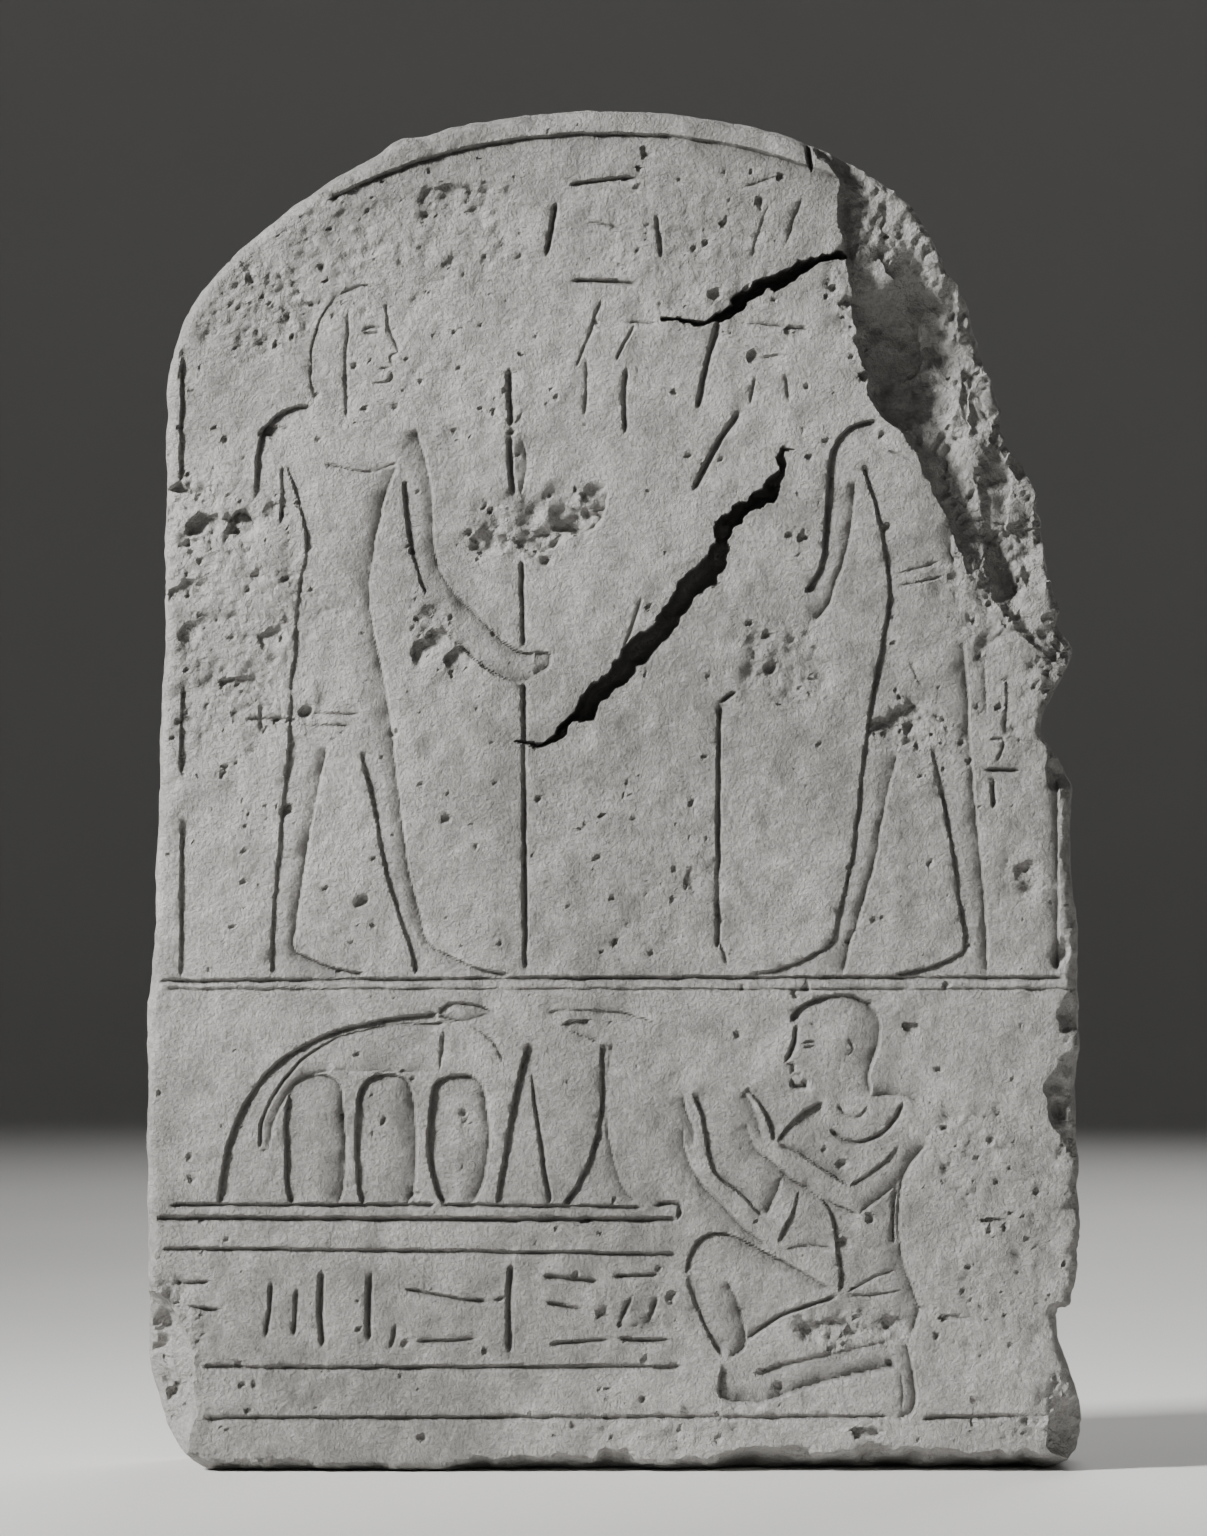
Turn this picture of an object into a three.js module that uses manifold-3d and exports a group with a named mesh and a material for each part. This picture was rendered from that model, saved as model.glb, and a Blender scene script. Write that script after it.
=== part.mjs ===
// A round-topped limestone stele in sunk relief. Two standing figures above, offerings and a kneeling
// worshipper below. Millimetres. On the face x runs to the right and z up from the middle of the foot,
// and y runs into the stone.
import * as THREE from "three";
import { mergeVertices } from "three/addons/utils/BufferGeometryUtils.js";
import Module from "manifold-3d";

const wasm = await Module();
wasm.setup();

// Driving dimensions of the slab
const slab = {
  height: 405,
  springHeight: 320, // where the straight sides turn into the arch
  footWidth: 279,
  thickness: 62,
  arris: 4, // worn edge round both faces
  waistHeight: 140, // the sides stand straight up to here, then draw in
  outlineStep: 7,
};
const sides = {
  left: { draw: 6, ease: 0.5 }, // draw is how far the side has come in at the spring
  right: { draw: 12, ease: 1.1 },
};
const footCorners = {
  left: { width: 21, height: 40 },
  right: { width: 12, height: 14 },
};

// Chips out of the outline: where, how wide along it and how deep. A negative bite stands proud.
const chips = [
  { x: 112, z: 340, reach: 38, bite: 18 },
  { x: 120, z: 318, reach: 13, bite: 6 },
  { x: 124, z: 280, reach: 14, bite: 2 },
  { x: 134, z: 243, reach: 6, bite: -4.5 },
  { x: 136, z: 222, reach: 9, bite: 7.5 },
  { x: 138, z: 204, reach: 6, bite: -1.5 },
  { x: 138, z: 34, reach: 12, bite: 12 },
  { x: 138, z: 95, reach: 45, bite: 2 },
  { x: -104, z: 377, reach: 32, bite: 3 },
  { x: -64, z: 394, reach: 6, bite: -1.5 },
];

// Chisels: width at the face, depth below it
const bold = { width: 2.6, depth: 2.2 };
const plain = { width: 1.9, depth: 1.4 };
const light = { width: 1.3, depth: 0.8 };
const cutting = {
  step: 8, // length of one straight run of a curved cut
  tip: 2.2, // a cut runs out to a point over this length
  lean: 0.55, // how far the deepest line moves to the outside of a figure, as a share of the half width
  clear: 0.4, // how far a cutting solid stands out of the face
};

// Layout of the face
const layout = {
  ground: 146.5, // line under the standing figures
  groundGap: 3.3, // to the second line below it
  border: 7.8, // margin outside the arched line
  sideBorder: 7, // margin outside the upright lines
  matTop: 79.2,
  matLow: 74.8,
  rowTop: 65.4,
  rowLow: 31.2,
  base: 15.9, // line under the worshipper
};
const standing = {
  square: 10.9, // one square of the carver's grid, 18 to the hairline
  left: { heel: -102, facing: 1 },
  right: { heel: 110.4, facing: -1 },
};
const staffs = { left: -27.2, right: 30.9, topLeft: 313, topRight: 228, foot: 149 };
const worshipper = { square: 9.3, heel: 89, facing: -1 };

// The break at the upper right: the line where the face stops, from the arch down, as [x, z]
const breakEdge = [
  [56, 405], [57, 395], [66, 384], [65, 370], [67, 360], [71, 349], [71, 337], [75, 325], [80, 313],
  [88, 304], [94, 292], [100, 280], [105, 268], [112, 259], [121, 248], [131, 240], [146, 236],
];
const spall = {
  drop: 13, // steep fall just beside the edge, where it is deepest
  shallow: 3.5, // the same far above and below that place
  deepest: 335, // height of that place
  fade: 36, // distance over which the fall eases
  run: 4, // width of the fall
  slope: 0.38, // further fall for each millimetre to the right
  ridge: 3.2, // height of the ridges on the broken surface
  ridgePitch: 17,
  cellX: 8,
  cellZ: 10,
  margin: 14, // how far the cutting solid reaches past the stone
};

// The open crack, as [x, z, width] along its line
const crack = {
  depth: 9,
  jag: 1.1, // how far the line kinks to each side between its stations
  lower: [
    [-28, 216, 0.8], [-16, 218, 2.2], [-5, 231, 5], [7, 244, 5.6], [22, 262, 4.4], [29, 269, 4.6],
    [32, 280, 3.4], [38, 287, 3], [45, 291, 3.2], [49, 296, 1.4],
  ],
  upper: [
    [14, 342, 0.8], [25, 340, 1.6], [35, 345, 3], [40, 351, 4.6], [49, 355, 5], [57, 359, 2.6],
    [67, 361, 1.6],
  ],
};

// Hollows where the face has flaked off, as half sizes round a middle
const hollows = [
  { x: -118, z: 283, halfX: 13, halfZ: 11, depth: 3.2 },
  { x: -24, z: 283, halfX: 20, halfZ: 7, depth: 2.4 },
  { x: -56, z: 243, halfX: 8, halfZ: 9, depth: 1.8 },
  { x: -44, z: 377, halfX: 12, halfZ: 7, depth: 1.2 },
  { x: 89, z: 220, halfX: 12, halfZ: 7, depth: 2.2 },
  { x: 123, z: 176, halfX: 5, halfZ: 6, depth: 1.8 },
  { x: 66, z: 42, halfX: 10, halfZ: 4, depth: 1.4 },
];

// Patches too weathered to hold a cut: a line stops at their rim
const worn = [
  ...hollows,
  { x: -112, z: 250, halfX: 22, halfZ: 17 },
  { x: -108, z: 226, halfX: 16, halfZ: 10 },
  { x: -120, z: 348, halfX: 12, halfZ: 14 },
  { x: 52, z: 236, halfX: 20, halfZ: 16 },
  { x: 118, z: 285, halfX: 22, halfZ: 34 },
];

const { sin, cos, atan2, PI, hypot, exp, min, max } = Math;
const degrees = PI / 180;
const faceY = -slab.thickness / 2;

// A closed BufferGeometry as a solid that manifold-3d can cut
function solidOf(geometry) {
  const bare = geometry.clone();
  bare.deleteAttribute("normal");
  bare.deleteAttribute("uv");
  const merged = mergeVertices(bare, 1e-4);
  return new wasm.Manifold(
    new wasm.Mesh({
      numProp: 3,
      vertProperties: new Float32Array(merged.attributes.position.array),
      triVerts: new Uint32Array(merged.index.array),
    }),
  );
}

function geometryOf(solid) {
  const mesh = solid.getMesh();
  const geometry = new THREE.BufferGeometry();
  geometry.setAttribute("position", new THREE.BufferAttribute(mesh.vertProperties, mesh.numProp));
  geometry.setIndex(new THREE.BufferAttribute(mesh.triVerts, 1));
  geometry.computeVertexNormals();
  return geometry;
}

// Half of the slab's width at a height, on one side of the middle
function sideReach(side, z) {
  const rise = max(0, (z - slab.waistHeight) / (slab.springHeight - slab.waistHeight));
  return slab.footWidth / 2 - side.draw * rise ** side.ease;
}

// The arch is half an ellipse on the spring line, drawn inset for the border line
const archMiddle = (sides.left.draw - sides.right.draw) / 2;
function archPoint(angle, inset = 0) {
  const halfSpan = (slab.footWidth - sides.left.draw - sides.right.draw) / 2 - inset;
  const rise = slab.height - slab.springHeight - inset;
  return [archMiddle - halfSpan * cos(angle * degrees), slab.springHeight + rise * sin(angle * degrees)];
}

// A quarter ellipse where a foot corner has broken away, from the side (0) to the underside (1)
function footCorner(sign, corner, t) {
  return [
    sign * (slab.footWidth / 2 - corner.width * (1 - cos(t * 90 * degrees))),
    corner.height * (1 - sin(t * 90 * degrees)),
  ];
}

// The stone's outline, clockwise from the left foot, with its chips and the unevenness of hand dressing
function outline() {
  const raw = [];
  const steps = (length) => max(2, Math.round(length / slab.outlineStep));
  const cornerSteps = (corner) => steps(corner.height + corner.width);
  const leftSteps = cornerSteps(footCorners.left);
  for (let i = 0; i < leftSteps; i++) raw.push(footCorner(-1, footCorners.left, 1 - i / leftSteps));
  const leftWall = steps(slab.springHeight - footCorners.left.height);
  for (let i = 0; i < leftWall; i++) {
    const z = footCorners.left.height + ((slab.springHeight - footCorners.left.height) * i) / leftWall;
    raw.push([-sideReach(sides.left, z), z]);
  }
  const archSteps = steps(PI * hypot(slab.footWidth / 2, slab.height - slab.springHeight) * 0.75);
  for (let i = 0; i < archSteps; i++) raw.push(archPoint((180 * i) / archSteps));
  const rightWall = steps(slab.springHeight - footCorners.right.height);
  for (let i = 0; i < rightWall; i++) {
    const z = slab.springHeight - ((slab.springHeight - footCorners.right.height) * i) / rightWall;
    raw.push([sideReach(sides.right, z), z]);
  }
  const rightSteps = cornerSteps(footCorners.right);
  for (let i = 0; i <= rightSteps; i++) raw.push(footCorner(1, footCorners.right, i / rightSteps));
  return raw.map(([x, z], i) => {
    const bite = chips.reduce(
      (sum, chip) => sum + chip.bite * exp(-((hypot(x - chip.x, z - chip.z) / chip.reach) ** 2)),
      0,
    );
    const uneven = 0.3 * sin(i * 1.9) + 0.4 * sin(i * 0.83 + 1);
    const held = min(1, z / slab.outlineStep); // the underside stays level
    const middle = slab.height / 2;
    const shrink = 1 - ((bite + uneven) * held) / hypot(x, z - middle);
    return [x * shrink, middle + (z - middle) * shrink];
  });
}

function slabSolid() {
  const shape = new THREE.Shape(outline().map(([x, z]) => new THREE.Vector2(x, z)));
  const geometry = new THREE.ExtrudeGeometry(shape, {
    depth: slab.thickness - 2 * slab.arris,
    bevelThickness: slab.arris,
    bevelSize: slab.arris,
    bevelOffset: -slab.arris,
    bevelSegments: 2,
  });
  geometry.rotateX(90 * degrees);
  geometry.translate(0, slab.thickness / 2 - slab.arris, 0);
  return solidOf(geometry);
}

// Where the face stops at the break, at a height
function breakEdgeAt(z) {
  const i = max(1, breakEdge.findIndex((p) => p[1] <= z));
  const [x1, z1] = breakEdge[i - 1];
  const [x2, z2] = z < breakEdge.at(-1)[1] ? breakEdge.at(-1) : breakEdge[i];
  return z1 === z2 ? x1 : x1 + ((x2 - x1) * (z1 - z)) / (z1 - z2);
}

// How deep the broken surface lies below the face. It is negative where the face is whole.
function spallDepth(x, z) {
  const past = x - breakEdgeAt(z);
  if (past < 0) return max(-spall.margin, past * 2);
  const near = exp(-(((z - spall.deepest) / spall.fade) ** 2));
  const drop = spall.shallow + (spall.drop - spall.shallow) * near;
  const fall = drop * (1 - exp(-past / spall.run)) + spall.slope * past;
  const across = ((x * 0.9 + z * 0.5) * PI) / spall.ridgePitch;
  const along = ((z - x * 0.3) * 2.3) / spall.ridgePitch;
  const ridges = sin(across) * cos(along);
  return max(0.3, fall + spall.ridge * ridges * min(1, past / (2 * spall.run)));
}

// A block in front of the face whose inner side is the broken surface
function spallSolid() {
  const low = breakEdge.at(-1)[1];
  const left = min(...breakEdge.map((p) => p[0])) - spall.cellX;
  const right = slab.footWidth / 2 + spall.margin;
  const top = slab.height + spall.margin;
  const [width, height] = [right - left, top - low];
  const across = Math.round(width / spall.cellX);
  const up = Math.round(height / spall.cellZ);
  const geometry = new THREE.BoxGeometry(width, spall.margin, height, across, 1, up);
  geometry.translate((left + right) / 2, 0, (low + top) / 2);
  const place = geometry.attributes.position;
  for (let i = 0; i < place.count; i++) {
    const inner = place.getY(i) > 0;
    place.setY(i, faceY + (inner ? spallDepth(place.getX(i), place.getZ(i)) : -2 * spall.margin));
  }
  return solidOf(geometry);
}

// A shallow faceted dish with a lobed rim, sunk into the face
function hollowSolid({ x, z, halfX, halfZ, depth }) {
  const geometry = new THREE.IcosahedronGeometry(1, 1);
  geometry.rotateY(x);
  const place = geometry.attributes.position;
  for (let i = 0; i < place.count; i++) {
    const angle = atan2(place.getZ(i), place.getX(i));
    const lobes = 1 + 0.08 * sin(3 * angle + z) + 0.1 * sin(5 * angle + x);
    place.setXYZ(i, place.getX(i) * lobes, place.getY(i), place.getZ(i) * lobes);
  }
  geometry.scale(halfX, depth, halfZ);
  geometry.translate(x, faceY, z);
  return solidOf(geometry);
}

// Bevels where the front edge is knocked off along the foot, as long flat dishes
function footChips() {
  const reachX = slab.footWidth / 2;
  const spots = [
    { x: -reachX, z: 22, halfX: 15, halfZ: 30, depth: 12 },
    { x: reachX * 0.55, z: 0, halfX: reachX * 0.5, halfZ: 6, depth: 8 },
    { x: -reachX * 0.25, z: 0, halfX: reachX * 0.35, halfZ: 3, depth: 6 },
    { x: reachX, z: 12, halfX: 12, halfZ: 10, depth: 9 },
  ];
  return spots.map(hollowSolid);
}

const isWorn = ([x, z]) => worn.some((p) => ((x - p.x) / p.halfX) ** 2 + ((z - p.z) / p.halfZ) ** 2 < 1);
const isBroken = ([x, z]) => x > breakEdgeAt(z) - 1 && z > breakEdge.at(-1)[1];

// Splits a finely drawn line into the runs that the stone still holds
function soundRuns(points) {
  const runs = [[]];
  for (const p of points) {
    if (!isWorn(p) && !isBroken(p)) runs.at(-1).push(p);
    else if (runs.at(-1).length) runs.push([]);
  }
  return runs.filter((run) => run.length > 1);
}

const cuts = [];

// Adds one cut along a smooth line through the points. inside is 1 where the figure lies on the left of
// the line, -1 where it lies on the right, and 0 for a line on its own.
function cut(tool, points, inside = 0) {
  const line = points.length > 2
    ? new THREE.SplineCurve(points.map(([x, z]) => new THREE.Vector2(x, z)))
    : new THREE.LineCurve(...points.map(([x, z]) => new THREE.Vector2(x, z)));
  const fine = line.getSpacedPoints(max(4, Math.ceil(line.getLength()))).map((p) => [p.x, p.y]);
  for (const run of soundRuns(fine)) {
    const pitch = line.getLength() / (fine.length - 1);
    const length = (run.length - 1) * pitch;
    if (length < 2 * cutting.tip) continue;
    const count = points.length > 2 ? max(2, Math.round(length / cutting.step)) : 1;
    const nth = (i) => run[Math.round((i * (run.length - 1)) / count)];
    cuts.push({ tool, inside, points: withTips(Array.from({ length: count + 1 }, (_, i) => nth(i))) });
  }
}

// Puts a station where the cut reaches its full width, near each end
function withTips(points) {
  const along = (a, b) => {
    const share = min(0.4, cutting.tip / hypot(b[0] - a[0], b[1] - a[1]));
    return [a[0] + (b[0] - a[0]) * share, a[1] + (b[1] - a[1]) * share];
  };
  const first = along(points[0], points[1]);
  const last = along(points.at(-1), points.at(-2));
  return [points[0], first, ...points.slice(1, -1), last, points.at(-1)];
}

// A wedge along a line, with its deepest edge leaning to the outside of the figure. widths may give
// one for each point.
function wedgeSolid({ tool, inside, points, widths }) {
  const last = points.length - 1;
  const place = [];
  const index = [];
  const ring = points.map(([x, z], i) => {
    const before = points[max(0, i - 1)];
    const after = points[min(last, i + 1)];
    const run = hypot(after[0] - before[0], after[1] - before[1]);
    const left = [-(after[1] - before[1]) / run, (after[0] - before[0]) / run];
    const half = ((widths ? widths[i] : tool.width) / 2) * (1 + cutting.clear / tool.depth);
    const first = place.length / 3;
    if (i === 0 || i === last) {
      place.push(x, faceY - cutting.clear, z);
      return [first, first, first];
    }
    const lean = -inside * cutting.lean * half;
    place.push(x + left[0] * half, faceY - cutting.clear, z + left[1] * half);
    place.push(x - left[0] * half, faceY - cutting.clear, z - left[1] * half);
    place.push(x + left[0] * lean, faceY + tool.depth, z + left[1] * lean);
    return [first, first + 1, first + 2];
  });
  for (let i = 0; i < last; i++) {
    const [l0, r0, b0] = ring[i];
    const [l1, r1, b1] = ring[i + 1];
    const faces = [[r0, r1, l1], [r0, l1, l0], [l0, l1, b1], [l0, b1, b0], [r0, b0, b1], [r0, b1, r1]];
    for (const [a, b, c] of faces) if (a !== b && b !== c && c !== a) index.push(a, b, c);
  }
  const geometry = new THREE.BufferGeometry();
  geometry.setAttribute("position", new THREE.Float32BufferAttribute(place, 3));
  geometry.setIndex(index);
  return solidOf(geometry);
}

// The crack as one wedge, with a kink set between each two stations
function crackSolid(stations) {
  const kinked = stations.flatMap(([x, z, width], i) => {
    if (i === stations.length - 1) return [[x, z, width]];
    const [nextX, nextZ, nextWidth] = stations[i + 1];
    const aside = ((i % 2 ? 1 : -1) * crack.jag) / hypot(nextX - x, nextZ - z);
    const midX = (x + nextX) / 2 - aside * (nextZ - z);
    const midZ = (z + nextZ) / 2 + aside * (nextX - x);
    return [[x, z, width], [midX, midZ, (width + nextWidth) / 2]];
  });
  return wedgeSolid({
    tool: { depth: crack.depth },
    inside: 0,
    points: kinked.map(([x, z]) => [x, z]),
    widths: kinked.map((station) => station[2]),
  });
}

// Both side lines of a limb, from stations [forward, up, width] down its middle: front side first
function limbSides(stations) {
  const last = stations.length - 1;
  const side = (sign) => stations.map(([f, u, width], i) => {
    const before = stations[max(0, i - 1)];
    const after = stations[min(last, i + 1)];
    const run = hypot(after[0] - before[0], after[1] - before[1]);
    return [
      f - (sign * (after[1] - before[1]) * width) / 2 / run,
      u + (sign * (after[0] - before[0]) * width) / 2 / run,
    ];
  });
  return [side(1), side(-1)];
}

// Draws on a figure's own grid: forward from its rear heel and up from its ground line, in squares
function figurePen({ heel, facing }, ground, square) {
  const onFace = ([f, u]) => [heel + facing * f * square, ground + u * square];
  return (tool, points, inside = 0) => cut(tool, points.map(onFace), inside * facing);
}

// The lines of a plain profile, by thirds of the face from hairline to chin
function faceProfile(pen, tool, front, chin, faceHeight) {
  const up = (thirds) => chin + (thirds * faceHeight) / 3;
  pen(tool, [[front - 0.1, up(3)], [front, up(2.1)], [front + 0.3, up(1.1)]]);
  pen(tool, [[front + 0.3, up(1.1)], [front + 0.05, up(1)], [front + 0.12, up(0.6)]]);
  pen(tool, [[front + 0.1, up(0.5)], [front + 0.02, up(0.1)], [front - 0.5, up(0)]]);
  pen(light, [[front - 0.2, up(2)], [front - 0.5, up(2.1)], [front - 0.8, up(1.95)]]);
  pen(light, [[front + 0.1, up(0.6)], [front - 0.3, up(0.58)]]);
}

// Sign of life: crossbar, shaft and loop
function ankh(pen, forward, up) {
  pen(plain, [[forward - 0.6, up], [forward + 0.6, up]]);
  pen(plain, [[forward, up - 0.2], [forward + 0.05, up - 1]]);
  const loop = [[0, 0], [-0.35, 0.7], [0, 1.1], [0.3, 0.7], [0, 0]];
  pen(light, loop.map(([f, u]) => [forward + f, up + u]));
}

// Squares of the grid that both standing figures share
const body = {
  torso: [
    [1.9, 14, 3], [1.9, 13, 2.3], [1.88, 11.7, 1.8], [1.7, 10.5, 1.9], [1.74, 9.2, 2.15], [1.8, 8, 2.5],
    [1.88, 6.7, 2.75],
  ],
  rearLeg: [[1, 6.4, 1.02], [0.7, 4.4, 0.8], [0.42, 2.1, 0.66], [0.32, 0.95, 0.58]],
  frontLeg: [[2.83, 6.3, 0.86], [3.12, 4.9, 0.72], [3.36, 3.3, 0.62], [3.72, 1.9, 0.55], [4, 0.95, 0.5]],
  footLength: 2.55,
  stride: 3.93, // from the rear heel to the front heel
};

function foot(heel) {
  const ball = body.footLength;
  return [[heel + 0.36 * ball, 0.58], [heel + 0.68 * ball, 0.25], [heel + ball, 0.12]];
}

// A figure striding with the far leg forward, one arm held out to a staff and one hanging
function standingFigure({ place, shoulder, reaches, hemHeight }) {
  const pen = figurePen(place, layout.ground, standing.square);
  const [chest, spine] = limbSides(body.torso);
  const [rearShin, rearCalf] = limbSides(body.rearLeg);
  const [frontShin, frontCalf] = limbSides(body.frontLeg);
  pen(plain, [...chest, ...frontShin.slice(1), ...foot(body.stride)], -1);
  pen(plain, [...spine, ...rearCalf.slice(1), [0, 0.1]], 1);
  pen(plain, [...rearShin, ...foot(0)], -1);
  pen(plain, [...frontCalf, [body.stride, 0.1]], 1);
  pen(light, [[hemHeight.from, hemHeight.up], [hemHeight.to, hemHeight.up]]);
  pen(bold, shoulder, -1);
  const upperArm = [[4.3, 13.6], [4.38, 12.4], [4.5, 11.3], [4.95, 10.5]];
  const forearm = [[5.63, 9.8], [6.3, 9.15], [6.75, 8.87], [7.2, 8.85]];
  pen(plain, reaches ? [[3.9, 15], ...upperArm, ...forearm] : upperArm, -1);
  pen(plain, [[3.6, 13.6], [3.7, 12.4], [3.95, 11.2], [4.25, 10.4]], 1);
  if (reaches) pen(plain, [[4.3, 10.2], [4.8, 9.4], [5.6, 8.65], [6.2, 8.25], [6.8, 8.08], [7.2, 8.3]], 1);
}

function leftFigure() {
  const pen = figurePen(standing.left, layout.ground, standing.square);
  standingFigure({
    place: standing.left,
    shoulder: [[-0.4, 13.1], [-0.36, 14.3], [-0.15, 15], [0.4, 15.45], [1.1, 15.6]],
    reaches: true,
    hemHeight: { from: 0.5, to: 2.4, up: 7.2 },
  });
  pen(light, [[0.5, 6.9], [2.2, 6.88]]);
  pen(plain, [[0.27, 14], [0.3, 13.2], [0.22, 12.4]], 1);
  pen(light, [[1.75, 18.6], [1.25, 17.8], [1.05, 16.8], [1.15, 15.7]], 1); // back of the wig
  pen(light, [[2.1, 18.2], [2.02, 16.8], [2.05, 15.2]]); // its front lappet
  pen(light, [[1.8, 18.6], [2.6, 18.9], [3.1, 18.4]], -1);
  faceProfile(pen, light, 3.2, 16.2, 2.2);
  pen(light, [[1.4, 14], [2.6, 13.8], [3.5, 14.1]]); // collar
  ankh(pen, -0.2, 7.1);
}

function rightFigure() {
  const pen = figurePen(standing.right, layout.ground, standing.square);
  standingFigure({
    place: standing.right,
    shoulder: [[2.97, 15.2], [3.7, 15], [4.2, 14.4], [4.34, 13.6]],
    reaches: false,
    hemHeight: { from: 3.35, to: 2.4, up: 6.55 },
  });
  pen(plain, [[3.85, 11.3], [4.1, 10.9], [4.3, 10.2], [4.75, 9.7]], 1);
  pen(light, [[2.5, 10.7], [1.7, 10.85], [0.9, 11.05]]); // belt
  pen(light, [[2.3, 11.15], [1, 11.55]]);
  pen(light, [[0.1, 9.2], [0.02, 7.6], [0.02, 6.5], [0.15, 6]], 1); // hanging arm
  pen(light, [[-0.55, 8.4], [-0.53, 6.5], [0, 6.4]], -1);
  ankh(pen, -0.2, 5.7);
}

// The kneeling man, on his own grid from the toes of the bent leg
function kneelingMan() {
  const pen = figurePen(worshipper, layout.base, worshipper.square);
  const skull = [[3.95, 12.6], [3.8, 13], [3.2, 13.35], [2.3, 13.5], [1.5, 13.2], [1.15, 12.6]];
  pen(bold, [...skull, [1.25, 11.8], [1.5, 11], [1.4, 10.3]], 1);
  faceProfile(pen, plain, 3.85, 10.55, 2.1);
  pen(light, [[2.2, 12.2], [2.0, 11.8], [2.25, 11.5]]); // ear
  pen(plain, [[1.4, 10.3], [0.5, 10.3], [-0.2, 10.05]], -1);
  pen(light, [[2.5, 10.1], [2.2, 9.7], [1.8, 9.6], [1.5, 10]]);
  pen(plain, [[0.4, 10.1], [0.6, 9.6], [1.2, 9], [1.8, 8.8], [2.3, 8.9], [2.75, 9.25]]);
  pen(bold, [[2.9, 10.1], [3.5, 9.8], [4, 9.35], [4.4, 8.8]], -1);
  // Near arm, then far arm, each from the shoulder to the raised hand
  pen(plain, [[0.5, 8.7], [1.2, 8], [2.1, 7.4]], -1);
  pen(plain, [[-0.3, 8.8], [0.3, 7.9], [0.9, 7.2], [1.8, 6.5]], 1);
  pen(plain, [[2.1, 7.4], [3, 8], [3.6, 8.4], [4.4, 8.7]], 1);
  pen(plain, [[1.8, 6.5], [2.9, 7], [3.9, 7.6], [4.6, 8.2], [5.1, 8.6], [5.4, 9.5]], -1);
  pen(plain, [[5.5, 10.5], [5.2, 10], [5, 9.4], [4.9, 8.9]], 1);
  pen(plain, [[5.3, 10.5], [4.9, 10], [4.6, 9.3], [4.5, 8.8]], -1);
  pen(plain, [[7.4, 10.4], [7.3, 9.8], [7.1, 9.2], [7.1, 8.6]], 1);
  pen(plain, [[7.1, 10.4], [6.85, 9.8], [6.7, 9.1], [6.6, 8.5], [6.3, 7.8], [5.5, 7.1], [4.8, 6.4]], -1);
  pen(plain, [[7.4, 9.4], [7.35, 8.7], [7.15, 8], [6.7, 7.3], [6, 6.6], [5.4, 6], [4.7, 5.45]], 1);
  pen(bold, [[4.2, 7.8], [4.5, 7], [4.8, 6.4]], 1);
  pen(plain, [[3.7, 7.4], [3.9, 6.6], [4.4, 5.6]], -1);
  // Trunk and kilt
  pen(plain, [[3.7, 7.5], [2.9, 6.9], [2.6, 6.3], [2.5, 5.5], [2.4, 4.8], [2.4, 4]], -1);
  pen(plain, [[-0.4, 8.8], [0.3, 7.9], [0.5, 6.9], [0.5, 5.9], [0.35, 4.9], [-0.1, 3.5], [0.1, 2.7]], 1);
  pen(light, [[4.2, 5.4], [3.3, 5.5], [2.5, 5.4]]);
  pen(plain, [[0.62, 7.6], [0.7, 6.5], [0.68, 5.5]]);
  pen(light, [[2.2, 4], [1.4, 4.45], [0.5, 4.8]]);
  pen(light, [[2.2, 3.9], [1.2, 3.95], [0.3, 4.1]]);
  // Raised leg, the hem over it, and the leg on the ground
  const knee = [[7.3, 4.6], [7.2, 5.2], [6.9, 5.7], [6.4, 5.9], [5.8, 5.8]];
  pen(plain, [...knee, [4.8, 5.3], [3.9, 4.8], [2.7, 4.1]], 1);
  pen(plain, [[7.3, 4.6], [6.9, 3.4], [6.5, 2.6], [6.1, 1.9]], -1);
  pen(plain, [[6, 4.4], [5.6, 3.5], [5.4, 2.6], [5.5, 2.2], [6, 1.9]], 1);
  pen(plain, [[5.4, 2.5], [4.6, 3.1], [3.7, 3.5], [2.5, 3.9]]);
  const [shinTop, shinLow] = limbSides([[0.6, 2.1, 0.85], [2.3, 1.72, 0.8], [3.9, 1.35, 0.9], [5, 1, 0.95]]);
  pen(plain, shinTop, -1);
  pen(bold, [...shinLow, [5.7, 0.55], [6.2, 0.8], [6.15, 1.7]], 1);
  pen(plain, [[0.3, 2.5], [0.1, 1.6], [0, 0.7], [0.15, 0.15], [0.6, 0]], 1);
  pen(light, [[0.5, 1.7], [0.4, 0.7], [0.5, 0.2]]);
}

// A tall loaf standing on the mat
function loaf(middle, width, height) {
  const side = [[0.8, 0], [1, 0.35], [0.86, 0.78]];
  const round = [...side.map(([w, h]) => [-w, h]), [0, 1], ...side.reverse()];
  cut(plain, round.map(([w, h]) => [middle + (w * width) / 2, layout.matTop + h * height]), -1);
}

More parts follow.
